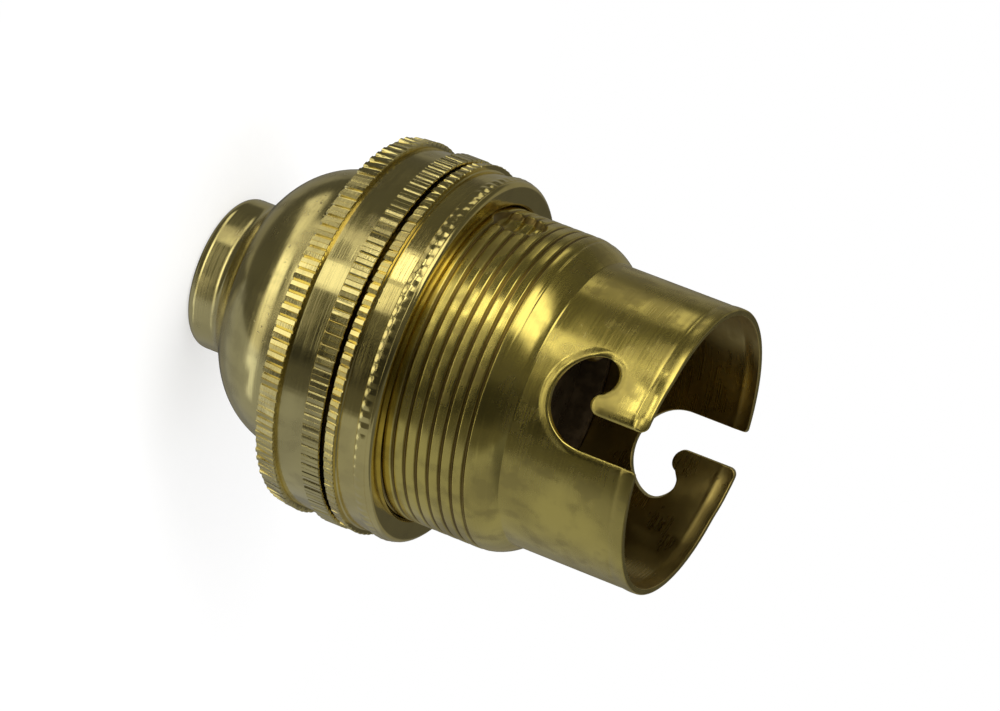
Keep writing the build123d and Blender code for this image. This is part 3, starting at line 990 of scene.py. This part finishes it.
    def gathered(self, height: float) -> np.ndarray:
        """Angles of a ring with its points gathered at the dimple, and even again at the seam.

        Each angle from the dimple loses a share of its own sine, which closes the points up near it.
        """
        share = self.gather * (1 - smooth_step(height, 29.0, self.seam - 0.2))
        turn = level_angles(self.points_round) - np.radians(self.dimple_angle)
        return turn - share * np.sin(turn) + np.radians(self.dimple_angle)

    def tube_wall(self, angles: np.ndarray, height: float) -> np.ndarray:
        """The tube's outer radius with the thread and the dimple."""
        return self.outer_radius(height) - self.thread(angles, height) - self.dent(angles, height)

    def tube_facing(self, angles: np.ndarray, height: float) -> np.ndarray:
        """Outward directions of the tube, from its slopes over a small turn and a small step up."""
        wall, turn, step = self.tube_wall, 0.0008, 0.008
        across = (wall(angles + turn, height) - wall(angles - turn, height)) / (2 * turn)
        across = across / wall(angles, height)
        along = (wall(angles, height + step) - wall(angles, height - step)) / (2 * step)
        return outward(angles, across, along)

    def tube(self) -> Surface:
        """The tube below the seam, from the inside at the seam, round the lower end, to the outside."""
        shoulder = np.linspace(self.seam, 28.4, 8)
        dimple = np.arange(28.0, 20.0, -0.4)
        rings = []
        for height in np.concatenate([shoulder, dimple, [17.0, 14.0]]):
            angles = self.gathered(height)
            radius = self.inner_radius(height) - self.dent(angles, height)
            rings.append(ring_points(radius, height, angles))
        for radius in (self.bore + 0.08, self.crest_radius - 0.25):
            rings.append(ring_points(radius, self.base, self.gathered(self.base)))
        first = len(rings) * self.points_round
        end = self.thread_end
        count = int((end - self.base) / self.pitch * self.rings_per_pitch)
        threaded, shoulder = np.linspace(self.base + 0.2, end, count), np.linspace(30.5, self.seam, 14)
        heights = np.concatenate([threaded, shoulder])
        for height in heights:
            angles = self.gathered(height)
            rings.append(ring_points(self.tube_wall(angles, height), height, angles))
        made = lathe(rings, closed=False)
        made.normals[first:] = np.concatenate([self.tube_facing(self.gathered(h), h) for h in heights])
        return made

    def slot_line(self) -> np.ndarray:
        """The rim and the J slot's edge from left to right, as sideways place and depth from the rim.

        It is made of runs and arcs that meet in a common tangent, resampled at even steps.
        """
        half, corner, turn = self.slot_half, self.mouth_corner, self.tongue_corner
        hook = (half - self.hook_radius, -self.hook_depth)
        offset = self.hook_radius - self.pocket_radius
        angle = np.radians(self.pocket_angle)
        pocket = (hook[0] + offset * np.cos(angle), hook[1] + offset * np.sin(angle))
        tip = (-half - self.tip_radius, -self.tip_depth)
        line = [(-half - turn - 0.6, 0.0)]
        line += arc((-half - turn, -turn), turn, 90, 0, 10)
        line += arc(tip, self.tip_radius, 0, self.tip_angle - 360, 24)
        line += arc(pocket, self.pocket_radius, self.pocket_end, self.pocket_angle, 30)
        line += arc(hook, self.hook_radius, self.pocket_angle, 360, 60)[1:]
        line += arc((half + corner, -corner), corner, 180, 90, 8)
        line += [(half + corner + 0.6, 0.0)]
        points = np.array(line)
        steps = np.concatenate([[0], np.cumsum(np.hypot(*np.diff(points, axis=0).T))])
        even = np.linspace(0, steps[-1], int(steps[-1] / self.line_step))
        return np.stack([np.interp(even, steps, points[:, way]) for way in (0, 1)], axis=1)

    def edge_line(self) -> tuple[np.ndarray, np.ndarray]:
        """The upper edge of half the barrel and its outward directions, in the unrolled plane.

        The sideways place is the barrel radius times the angle from the slot. The slot is punched
        straight, so its angle is the arc sine of its sideways place over the barrel radius.

        Returns:
            Points and unit directions, each of shape (points, 2), with heights in millimetres.
        """
        slot = self.slot_line()
        slot[:, 0] = self.barrel_radius * np.arcsin(slot[:, 0] / self.barrel_radius)
        slot[:, 1] += self.rim
        step = 2 * np.pi / self.points_round * self.barrel_radius
        quarter = np.pi / 2 * self.barrel_radius
        grid = np.arange(-self.points_round // 4, self.points_round // 4 + 1) * step
        left = grid[grid < slot[0, 0] - 0.1]
        right = grid[grid > slot[-1, 0] + 0.1]
        left[0], right[-1] = -quarter, quarter
        ends = [np.stack([side, np.full_like(side, self.rim)], 1) for side in (left, right)]
        line = np.concatenate([ends[0], slot, ends[1]])
        along = np.gradient(line, axis=0)
        along[:3] = along[-3:] = (1.0, 0.0)
        for _ in range(2):
            along[1:-1] = (along[:-2] + 2 * along[1:-1] + along[2:]) / 4
        along = unit(along)
        return line, np.stack([-along[:, 1], along[:, 0]], axis=1)

    def wrap(self, flat: np.ndarray, radius: np.ndarray, inside: int) -> np.ndarray:
        """Rolls points of the unrolled plane round the axis, with the slot at the -Y side.

        Args:
            flat: Sideways places and heights.
            radius: The radius of each point.
            inside: 0 on the outer wall and 1 on the inner one, where a punched edge keeps its sideways
                place instead of its angle.

        Returns:
            Points in millimetres.
        """
        turn = flat[:, 0] / self.barrel_radius
        near = 1 - smooth_step(np.abs(turn), self.punched_near, self.punched_far)
        punched = np.arcsin(np.clip(np.sin(turn) * self.barrel_radius / self.barrel_bore, -1, 1))
        turn = turn + (punched - turn) * near * inside
        return ring_points(radius, flat[:, 1], turn - np.pi / 2)

    def half_barrel(self) -> Surface:
        """Half the slotted barrel: an outer and an inner sheet, and the rounded edge that joins them.

        Each sheet is triangulated in the unrolled plane inside the edge line moved in by the edge's
        width. Two rows of points follow that line and an even grid fills the rest.
        """
        line, away = self.edge_line()
        reach = self.edge_width(line)
        width = reach + 0.05 + self.lip_reach * self.lip(line)
        inset = line - away * width
        inset[0, 0], inset[-1, 0] = line[0, 0], line[-1, 0]
        quarter = np.pi / 2 * self.barrel_radius
        plain, beaded = np.linspace(self.seam, 40.6, 20), np.arange(40.75, self.rim - 0.2, 0.16)
        levels = np.concatenate([plain, beaded])
        count = len(levels) - 1
        step = 2 * quarter / (self.points_round // 2)
        across = np.arange(-self.points_round // 4, self.points_round // 4 + 1) * step
        right = np.stack([np.full(count, quarter), levels[1:][::-1]], axis=1)
        bottom = np.stack([across[::-1], np.full(len(across), self.seam)], axis=1)
        left = np.stack([np.full(count, -quarter), levels[1:]], axis=1)
        loop = np.concatenate([inset, right, bottom, left])
        fill_x, fill_y = np.meshgrid(across[1:-1], levels[1:])
        fill = np.stack([fill_x.ravel(), fill_y.ravel()], axis=1)
        close, next_close = [line - away * (width + further) for further in (0.15, 0.34)]
        near = np.concatenate([close[4:-4:2], next_close[5:-5:3]])
        near = near[self.well_inside(near, inset, 0.07)]
        flat = np.concatenate([loop, near, fill[self.well_inside(fill, inset, 0.26)]])
        count = len(loop)
        border = [(i, (i + 1) % count) for i in range(count)]
        vectors = [Vector(p) for p in flat.tolist()]
        points, _, triangles, *_ = delaunay_2d_cdt(vectors, border, [], 1, 1e-7)
        flat = np.array([tuple(p) for p in points])
        triangles = np.array([t for t in triangles if len(t) == 3])
        return self.sheets(flat, triangles).joined(self.edge_strip(line, away, reach, width))

    def edge_width(self, line: np.ndarray) -> np.ndarray:
        """How far the outer edge's rounding reaches: little at the rim, more at the slot and its tongue."""
        depth = self.rim - line[:, 1:]
        slot = self.rim_edge + (self.slot_edge - self.rim_edge) * smooth_step(depth, 0.3, 1.0)
        tongue = smooth_step(depth, 0.6, 1.4) * (1 - smooth_step(depth, 4.4, 5.2)) * (line[:, :1] < 0)
        edge = slot + (self.tongue_edge - self.slot_edge) * tongue
        return edge + (self.lip_edge - edge) * self.lip(line)

    def lip(self, line: np.ndarray) -> np.ndarray:
        """Where the slot's edge carries a raised lip: 1 along the hook's far side and 0 near the rim."""
        return smooth_step(self.rim - line[:, 1:], self.lip_from, self.lip_full)

    @staticmethod
    def well_inside(places: np.ndarray, line: np.ndarray, least: float) -> np.ndarray:
        """Whether each place lies below the edge line, and at least so far from it.

        A place is inside where a ray straight up from it crosses the line an odd number of times.
        """
        a, b = line[:-1], line[1:]
        x, y = places[:, 0, None], places[:, 1, None]
        spans = (a[:, 0] > x) != (b[:, 0] > x)
        width = np.where(b[:, 0] == a[:, 0], 1e-9, b[:, 0] - a[:, 0])
        height = a[:, 1] + (x - a[:, 0]) * (b[:, 1] - a[:, 1]) / width
        inside = (spans & (height > y)).sum(axis=1) % 2 == 1
        gap = np.hypot(x - line[:, 0], y - line[:, 1]).min(axis=1)
        return inside & (gap > least)

    def sheets(self, flat: np.ndarray, triangles: np.ndarray) -> Surface:
        """The outer sheet and, turned over, the inner one, with normals across their slope."""
        outer = self.wrap(flat, self.wall(flat, 0), 0)
        inner = self.wrap(flat, self.wall(flat, 1), 1)
        outside = Surface(outer, [triangles], self.facing(flat, outer, 0))
        return outside.joined(Surface(inner, [triangles[:, ::-1]], -self.facing(flat, inner, 1)))

    def wall(self, flat: np.ndarray, inside: int) -> np.ndarray:
        """Radius of the barrel's outer or inner wall over the unrolled plane, with the tongue's fold.

        The fold is a soft step: it rises from 0 far from the slot's straight edge to its full height
        near that edge, beside the slot's mouth only. The tongue is also bent outwards as a whole, more
        towards the rim.
        """
        radius = self.inner_radius(flat[:, 1]) if inside else self.outer_radius(flat[:, 1])
        from_edge = -self.slot_half - flat[:, 0]
        depth = self.rim - flat[:, 1]
        fold = self.fold_rise * (1 - smooth_step(from_edge, self.fold_near, self.fold_far))
        fold = fold * (1 - smooth_step(depth, self.fold_fading, self.fold_faded))
        bend = self.bend_rise * (1 - smooth_step(from_edge, self.bend_near, self.bend_far))
        bend = bend * np.clip(1 - depth / self.bend_depth, 0, 1) ** self.bend_power
        return radius + (fold + bend) * (from_edge > -0.5)

    def facing(self, flat: np.ndarray, points: np.ndarray, inside: int) -> np.ndarray:
        """Outward directions of a wall of the barrel, from its slopes over a small step each way."""
        step = 0.02
        slopes = []
        for move in (np.array([[step, 0.0]]), np.array([[0.0, step]])):
            slopes.append((self.wall(flat + move, inside) - self.wall(flat - move, inside)) / (2 * step))
        return outward(np.arctan2(points[:, 1], points[:, 0]), *slopes)

    def edge_strip(
        self, line: np.ndarray, away: np.ndarray, edge: np.ndarray, width: np.ndarray
    ) -> Surface:
        """Rows across the wall's thickness, each moved in along the line's directions and in radius.

        The outer edge turns a quarter ellipse, as a punch leaves it, and the inner one a quarter circle
        of the rim's width, with a flat row behind it that meets the inner sheet. Along the lip the wall
        falls from the edge to the sheet as half a cosine wave.

        Args:
            line: The edge in the unrolled plane.
            away: Outward directions along it.
            edge: How far the rounding reaches at each point.
            width: How far in the sheets end at each point.

        Returns:
            The strip, with its first row on the outer sheet and its last on the inner one.
        """
        count = len(line)
        reach, total, least = edge[:, 0], width[:, 0], np.full(count, self.rim_edge * 0.8)
        height = self.lip_height * self.lip(line)[:, 0]
        drop = np.minimum(reach, self.slot_edge_drop + 0.6 * (reach - self.slot_edge).clip(0))
        level = np.ones(count)
        steps = []
        for share in np.linspace(1, 0, 8)[:-1]:
            lifted = height * (0.5 + 0.5 * np.cos(np.pi * share))
            slope = -height * np.pi / 2 * np.sin(np.pi * share) / (total - reach)
            steps.append((0, reach + (total - reach) * share, lifted, level, slope))
        for angle in np.radians([0, 20, 40, 55, 68, 80, 90]):
            sine, cosine = np.sin(angle), np.cos(angle)
            steps.append((0, reach * (1 - sine), height - drop * (1 - cosine), reach * cosine, drop * sine))
        for angle in np.radians([90, 60, 30, 0]):
            sine, cosine = np.sin(angle), np.cos(angle)
            steps.append((1, least * (1 - sine), -least * (1 - cosine), least * cosine, least * sine))
        steps.append((1, total, 0 * reach, level, 0 * reach))
        rows, normals = [], []
        for side, inset, lift, radial, flatwise in steps:
            sign = -1 if side else 1
            flat = line - away * inset[:, None]
            flat[0, 0], flat[-1, 0] = line[0, 0], line[-1, 0]
            row = self.wrap(flat, self.wall(flat, side) + sign * lift, side)
            out = self.facing(flat, row, side)
            sideways = np.stack([-out[:, 1], out[:, 0], 0 * out[:, 0]], axis=1)
            across = sideways * away[:, :1] + np.array([0.0, 0.0, 1.0]) * away[:, 1:]
            rows.append(row)
            normals.append(unit(out * sign * radial[:, None] + across * flatwise[:, None]))
        faces = [band_faces(k * count, count, (k + 1) * count, closed=False) for k in range(len(rows) - 1)]
        return Surface(np.concatenate(rows), faces, np.concatenate(normals))

    def build(self, material: bpy.types.Material) -> bpy.types.Object:
        """Joins the tube and the two halves of the barrel into one closed surface and dresses it."""
        half = self.half_barrel()
        whole = self.tube().joined(half, half.turned(np.pi)).welded()
        return dress(mesh_object("threaded_skirt", whole), material, Body.BARREL, "skirt")


# Contacts


@dataclass
class Contact:
    """One sprung contact: a hollow turned plunger over a coil spring."""

    side: str
    angle: float
    body: Body
    pitch_radius: float = 6.25
    radius: float = 2.3
    collar_radius: float = 3.0
    collar_low: float = 24.105
    collar_height: float = 1.2
    collar_bevel: float = 0.12
    bevel: float = 0.1
    tip: float = 32.005
    tip_rounding: float = 0.95
    bore: float = 1.8
    bore_top: float = 30.705
    travel: float = 4.5
    spring_low: float = 19.0
    spring_radius: float = 1.65
    wire: float = 0.2
    turns: float = 8.0
    steps_per_turn: int = 28

    def place(self) -> tuple[float, float]:
        """Where the contact stands, sideways from the axis."""
        turn = np.radians(self.angle)
        return self.pitch_radius * float(np.cos(turn)), self.pitch_radius * float(np.sin(turn))

    def plunger(self, material: bpy.types.Material) -> bpy.types.Object:
        """The plunger as a turned profile with a rounded, slightly worn tip."""
        r, edge, bore, top = self.radius, self.radius - self.tip_rounding, self.bore, self.bore_top
        collar, cut, fine = self.collar_radius, self.collar_bevel, self.bevel
        low, high = self.collar_low, self.collar_low + self.collar_height
        points = [(0.02, self.tip - 0.03), (edge * 0.6, self.tip - 0.012)]
        points += arc((edge, self.tip - self.tip_rounding), self.tip_rounding, 90, 0, 12)
        points += [(r, high + fine), (r + fine, high), (collar - cut, high), (collar, high - cut)]
        points += [(collar, low + cut), (collar - cut, low), (bore + fine, low), (bore, low + fine)]
        points += [(bore, top - fine), (bore - fine, top), (0.02, top)]
        angles = level_angles(PLUNGER_RING)
        surface = lathe([ring_points(out, up, angles) for out, up in points[::-1]], closed=False)
        surface = surface.moved(*self.place()).capped(PLUNGER_RING)
        piece = mesh_object(f"contact_plunger_{self.side}", surface)
        return dress(piece, material, self.body, f"plunger_{self.side}")

    def coil(self, material: bpy.types.Material) -> bpy.types.Object:
        """The spring: a circle of wire carried along a helix whose end turns lie close together."""
        share = np.linspace(0, 1, int(self.turns * self.steps_per_turn) + 1)
        turn = share * self.turns * 2 * np.pi
        low, high = self.spring_low + self.wire, self.bore_top - self.wire
        ends = 1.6 / self.turns
        rise = np.clip((share - ends / 2) / (1 - ends), 0, 1)
        centre = ring_points(self.spring_radius - self.wire, low + (high - low) * rise, turn)
        out = ring_points(1.0, 0.0, turn)
        third = np.cross(unit(np.gradient(centre, axis=0)), out)
        around = level_angles(WIRE_RING)[None, :, None]
        wire = np.cos(around) * out[:, None, :] + np.sin(around) * third[:, None, :]
        points = centre[:, None, :] + self.wire * wire
        tips = [centre[end] + (points[end] - centre[end]) * 0.02 for end in (0, -1)]
        surface = lathe([tips[0], *points, tips[1]], closed=False).flipped()
        x, y = self.place()
        piece = mesh_object(f"coil_spring_{self.side}", surface.moved(x, y))
        dress(piece, material, Body.BARREL, f"spring_{self.side}")
        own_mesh(piece)
        return piece


# Camera, light and surroundings


@dataclass(frozen=True)
class Card:
    """A soft edged bright patch on the drum round the holder, seen only in reflections.

    Angles are degrees about the axis, counted from the camera's side, and heights are millimetres
    above the floor.
    """

    left: float
    right: float
    low: float
    high: float
    level: float
    soft: float = 5.0
    soft_height: float = 8.0


@dataclass
class Studio:
    """The photograph's camera and a plain white studio with grey reflecting cards."""

    roll: float = 21.203
    tilt: float = 20.241
    focal_pixels: float = 5541.0
    pixels_wide: float = 1000.0
    pixels_high: float = 711.0
    sensor_width: float = 36.0
    rim_x: float = 693.19
    rim_y: float = 452.86
    distance: float = 430.0
    azimuth: float = 262.4
    rim_height: float = 42.4
    drum_radius: float = 150.0
    drum_low: float = -320.0
    drum_high: float = 320.0
    floor_height: float = -0.002
    room_level: float = 0.085
    world_level: float = 0.55
    warm: Colour = (1.0, 0.98, 0.9)
    cool: Colour = (0.96, 1.0, 1.16)
    lamp_distance: float = 0.9
    cards: tuple[Card, ...] = (
        Card(-165, -128, -330, 330, 0.22, 10),
        Card(128, 165, -330, 330, 0.22, 10),
        Card(52, 140, -330, 150, 0.31, 4),
        Card(52, 140, 150, 330, 0.12, 4),
        Card(4, 34, -48, 330, 0.03, 8),
        Card(-66, -32, 2, 200, 1.6, 8),
        Card(-28, -10, -24, -2, 0.2, 8, 8),
        Card(-47, -28, -24, -3, 0.42, 8, 6),
        Card(-49, -30, -35.5, -20.5, 2.6, 3, 3),
        Card(-28, -11, -57, -30, 1.25, 3, 4),
        Card(-11, 24, -57, -45, 1.0, 6, 4),
        Card(-64, -36, -76, -55, 0.85, 8, 5),
        Card(-112, -90, -22, 0, 0.75, 6),
        Card(-100, 100, -106, -84, 0.8, 14, 10),
        Card(-100, 74, -150, -104, 0.9, 14, 10),
        Card(-34, 30, -150, -84, 1.35, 16, 10),
    )

    def camera(self) -> None:
        """Places the camera from the fitted roll, tilt, focal length and place of the rim's centre."""
        roll, tilt, azimuth = np.radians([self.roll, self.tilt, self.azimuth])
        sideways = (self.rim_x - self.pixels_wide / 2) / self.focal_pixels
        down = (self.rim_y - self.pixels_high / 2) / self.focal_pixels
        centre = self.distance * np.array([sideways, down, 1.0])
        axis = np.array([np.cos(tilt) * np.cos(roll), np.cos(tilt) * np.sin(roll), -np.sin(tilt)])
        towards = -centre / np.linalg.norm(centre)
        towards = towards - axis * (towards @ axis)
        towards /= np.linalg.norm(towards)
        seen = np.stack([towards, np.cross(axis, towards), axis], axis=1)
        turn = np.array(Matrix.Rotation(azimuth, 3, "Z")) @ seen.T
        place = (np.array([0, 0, self.rim_height]) - turn @ centre) * MM
        data = bpy.data.cameras.new("photo_camera")
        data.sensor_width = self.sensor_width
        data.lens = self.focal_pixels / self.pixels_wide * self.sensor_width
        data.clip_start, data.clip_end = 0.02, 20.0
        camera = bpy.data.objects.new("photo_camera", data)
        bpy.context.scene.collection.objects.link(camera)
        basis = np.eye(4)
        basis[:3, :3] = turn @ np.diag([1.0, -1.0, -1.0])
        basis[:3, 3] = place
        camera.matrix_world = Matrix(basis.tolist())
        bpy.context.scene.camera = camera

    def white_world(self) -> None:
        """A white surround for the camera and for reflections, and a plain level of light elsewhere."""
        world = bpy.data.worlds.new("white_surround")
        world.use_nodes = True
        bpy.context.scene.world = world
        graph = Graph(world.node_tree)
        strength = graph.spread(graph.seen(), 0.0, 1.0, self.world_level, 1.0)
        surround = graph.add("ShaderNodeBackground", {"Color": (1.0, 1.0, 1.0), "Strength": strength})
        graph.surface(surround, "ShaderNodeOutputWorld")

    def floor(self) -> None:
        """A pale floor under the neck that fades to white away from the holder."""
        angles = level_angles(STUDIO_RING)
        radii = np.geomspace(0.02, 2.5, 24) / MM
        surface = lathe([ring_points(r, self.floor_height, angles) for r in radii], closed=False)
        floor = mesh_object("pale_floor", surface.capped(STUDIO_RING, 1).flipped())
        material, graph = new_material("pale_floor")
        place = graph.place()
        grain = graph.noise(place, 900.0, 3.0)
        pale = {
            "Base Color": graph.blend(grain, (0.93, 0.93, 0.93), (0.96, 0.96, 0.96)),
            "Roughness": graph.spread(grain, 0.3, 0.7, 0.75, 0.9),
        }
        shader = graph.add("ShaderNodeBsdfPrincipled", pale)
        glow = graph.add("ShaderNodeEmission", {"Color": (1.0, 1.0, 1.0)})
        distance = graph.vector("LENGTH", "Value", place)
        fade = graph.math("MULTIPLY", graph.spread(distance, 0.01, 0.06, 0.55, 1.0), graph.seen())
        mix = graph.add("ShaderNodeMixShader", {0: fade, 1: shader.outputs[0], 2: glow.outputs[0]})
        graph.surface(mix)
        floor.data.materials.append(material)
        floor.visible_glossy = False

    def card_drum(self) -> None:
        """A dim closed drum with soft bright cards on its wall, seen only in reflections."""
        angles = level_angles(STUDIO_RING)
        heights = np.linspace(self.drum_low, self.drum_high, 17)
        surface = lathe([ring_points(self.drum_radius, h, angles) for h in heights], closed=False)
        drum = mesh_object("reflecting_cards", surface.capped(STUDIO_RING))
        material, graph = new_material("reflecting_cards")
        x, y, z = graph.parts(graph.place())
        degrees = graph.math("MULTIPLY", graph.math("ARCTAN2", y, x), 180 / np.pi)
        turn = graph.math("WRAP", graph.math("SUBTRACT", degrees, self.azimuth), 180.0, -180.0)
        height = graph.math("MULTIPLY", z, 1 / MM)
        level = self.room_level
        for card in self.cards:
            wide = self.within(graph, turn, card.left, card.right, card.soft)
            tall = self.within(graph, height, card.low, card.high, card.soft_height)
            level = graph.blend(graph.math("MULTIPLY", wide, tall), level, card.level, "FLOAT")
        tint = graph.blend(self.within(graph, turn, 52, 150, 6), self.warm, self.cool)
        graph.surface(graph.add("ShaderNodeEmission", {"Color": tint, "Strength": level}))
        drum.data.materials.append(material)
        for name in ("camera", "diffuse", "transmission", "volume_scatter", "shadow"):
            setattr(drum, f"visible_{name}", False)

    @staticmethod
    def within(graph: Graph, value: Socket, low: float, high: float, soft: float) -> Socket:
        """1 between two bounds and 0 outside them, eased over the soft width about each."""
        rise = graph.spread(value, low - soft / 2, low + soft / 2)
        fall = graph.spread(value, high - soft / 2, high + soft / 2, 1.0, 0.0)
        return graph.math("MULTIPLY", rise, fall)

    def lamp(self, name: str, azimuth: float, elevation: float, power: float, size: float) -> None:
        """A soft square lamp at an angle about the holder, aimed at its middle.

        Args:
            name: The lamp's name.
            azimuth: Degrees about the axis from +X.
            elevation: Degrees above the floor.
            power: Watts.
            size: Side length in metres.
        """
        data = bpy.data.lights.new(name, "AREA")
        data.energy, data.size = power, size
        turn, rise = np.radians(azimuth), np.radians(elevation)
        out = Vector((np.cos(turn) * np.cos(rise), np.sin(turn) * np.cos(rise), np.sin(rise)))
        lamp = bpy.data.objects.new(name, data)
        bpy.context.scene.collection.objects.link(lamp)
        lamp.location = out * self.lamp_distance + Vector((0, 0, 0.02))
        lamp.rotation_mode = "QUATERNION"
        lamp.rotation_quaternion = out.to_track_quat("Z", "Y")
        lamp.visible_glossy = False

    def build(self) -> None:
        """Builds the camera, the surround, the floor, the cards and three soft lamps."""
        self.camera()
        self.white_world()
        self.floor()
        self.card_drum()
        self.lamp("key_lamp", self.azimuth - 40, 35, 9.0, 0.6)
        self.lamp("fill_lamp", self.azimuth + 70, 25, 4.0, 0.8)
        self.lamp("back_lamp", self.azimuth + 180, 45, 4.0, 0.8)
        bpy.context.scene.view_settings.view_transform = "Standard"
        log.info("studio: camera, floor, cards and three lamps")


# Solids that keep their shape


def dress_solids(material: bpy.types.Material, *names: str) -> None:
    """Gives solids that stay shown their material."""
    for name in names:
        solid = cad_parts[name]
        solid.data.materials.clear()
        solid.data.materials.append(material)
        log.info("%s: dressed", name)


def brasses() -> list[bpy.types.Material]:
    """The finishes of the cap, the shade ring, the skirt and the small brass parts inside."""
    groups = {"marks": turning_marks_group(), "tarnish": tarnish_group(), "hollow": hollow_group()}
    finishes = (
        BrassFinish("aged_brass", clean=(0.82, 0.7, 0.28), dull=(0.55, 0.46, 0.19), roughness=0.1,
                    specks=1.0, speck_low=0.0085, speck_high=0.0122, mark_depth=0.000003),
        BrassFinish("turned_brass", clean=(0.84, 0.7, 0.25), roughness=0.1, amount=0.35, specks=0.2,
                    mark_depth=0.000003),
        # The drawn brass carries painted shade in its thread's valleys.
        BrassFinish("drawn_brass", clean=(0.85, 0.69, 0.17), dull=(0.55, 0.44, 0.12), roughness=0.16,
                    amount=0.8, specks=0.0, mark_depth=0.0000012, wave_depth=0.000014,
                    valley_shade_radius=0.01296),
        BrassFinish("contact_brass", clean=(0.78, 0.62, 0.3), dull=(0.5, 0.38, 0.2), roughness=0.22),
    )
    return [finish.build(groups) for finish in finishes]


def main() -> None:
    """Builds the finishes, the pieces and the studio."""
    logging.basicConfig(level=logging.INFO, format="%(name)s %(message)s")
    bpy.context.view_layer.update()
    cap_brass, ring_brass, skirt_brass, inner_brass = brasses()
    phenolic = MottledFinish("moulded_phenolic", (0.02, 0.013, 0.006), (0.045, 0.03, 0.014), 900.0,
                             0.42, 0.66, 0.26, 0.42, 5200.0, 0.00001).build()
    plated = steel("plated_steel", (0.62, 0.61, 0.57), (0.4, 0.39, 0.36))
    drawn = steel("drawn_wire", (0.5, 0.49, 0.47), (0.33, 0.32, 0.3))

    Cap().build(cap_brass)
    ShadeRing().build(ring_brass)
    Skirt().build(skirt_brass)
    for contact in (Contact("a", 158.16, Body.PLUNGER_A), Contact("b", 338.16, Body.PLUNGER_B)):
        contact.plunger(inner_brass)
        contact.coil(drawn)
    dress_solids(phenolic, "insulator_body", "insulator_base")
    dress_solids(plated, "insulator_screw", "insulator_nut", "insulator_washer")
    dress_solids(plated, "terminal_screw_a", "terminal_screw_b")
    dress_solids(inner_brass, "terminal_a", "terminal_b", "earth_plate", "earth_screw", "earth_washer")
    Studio().build()


if __name__ == "__main__":
    main()
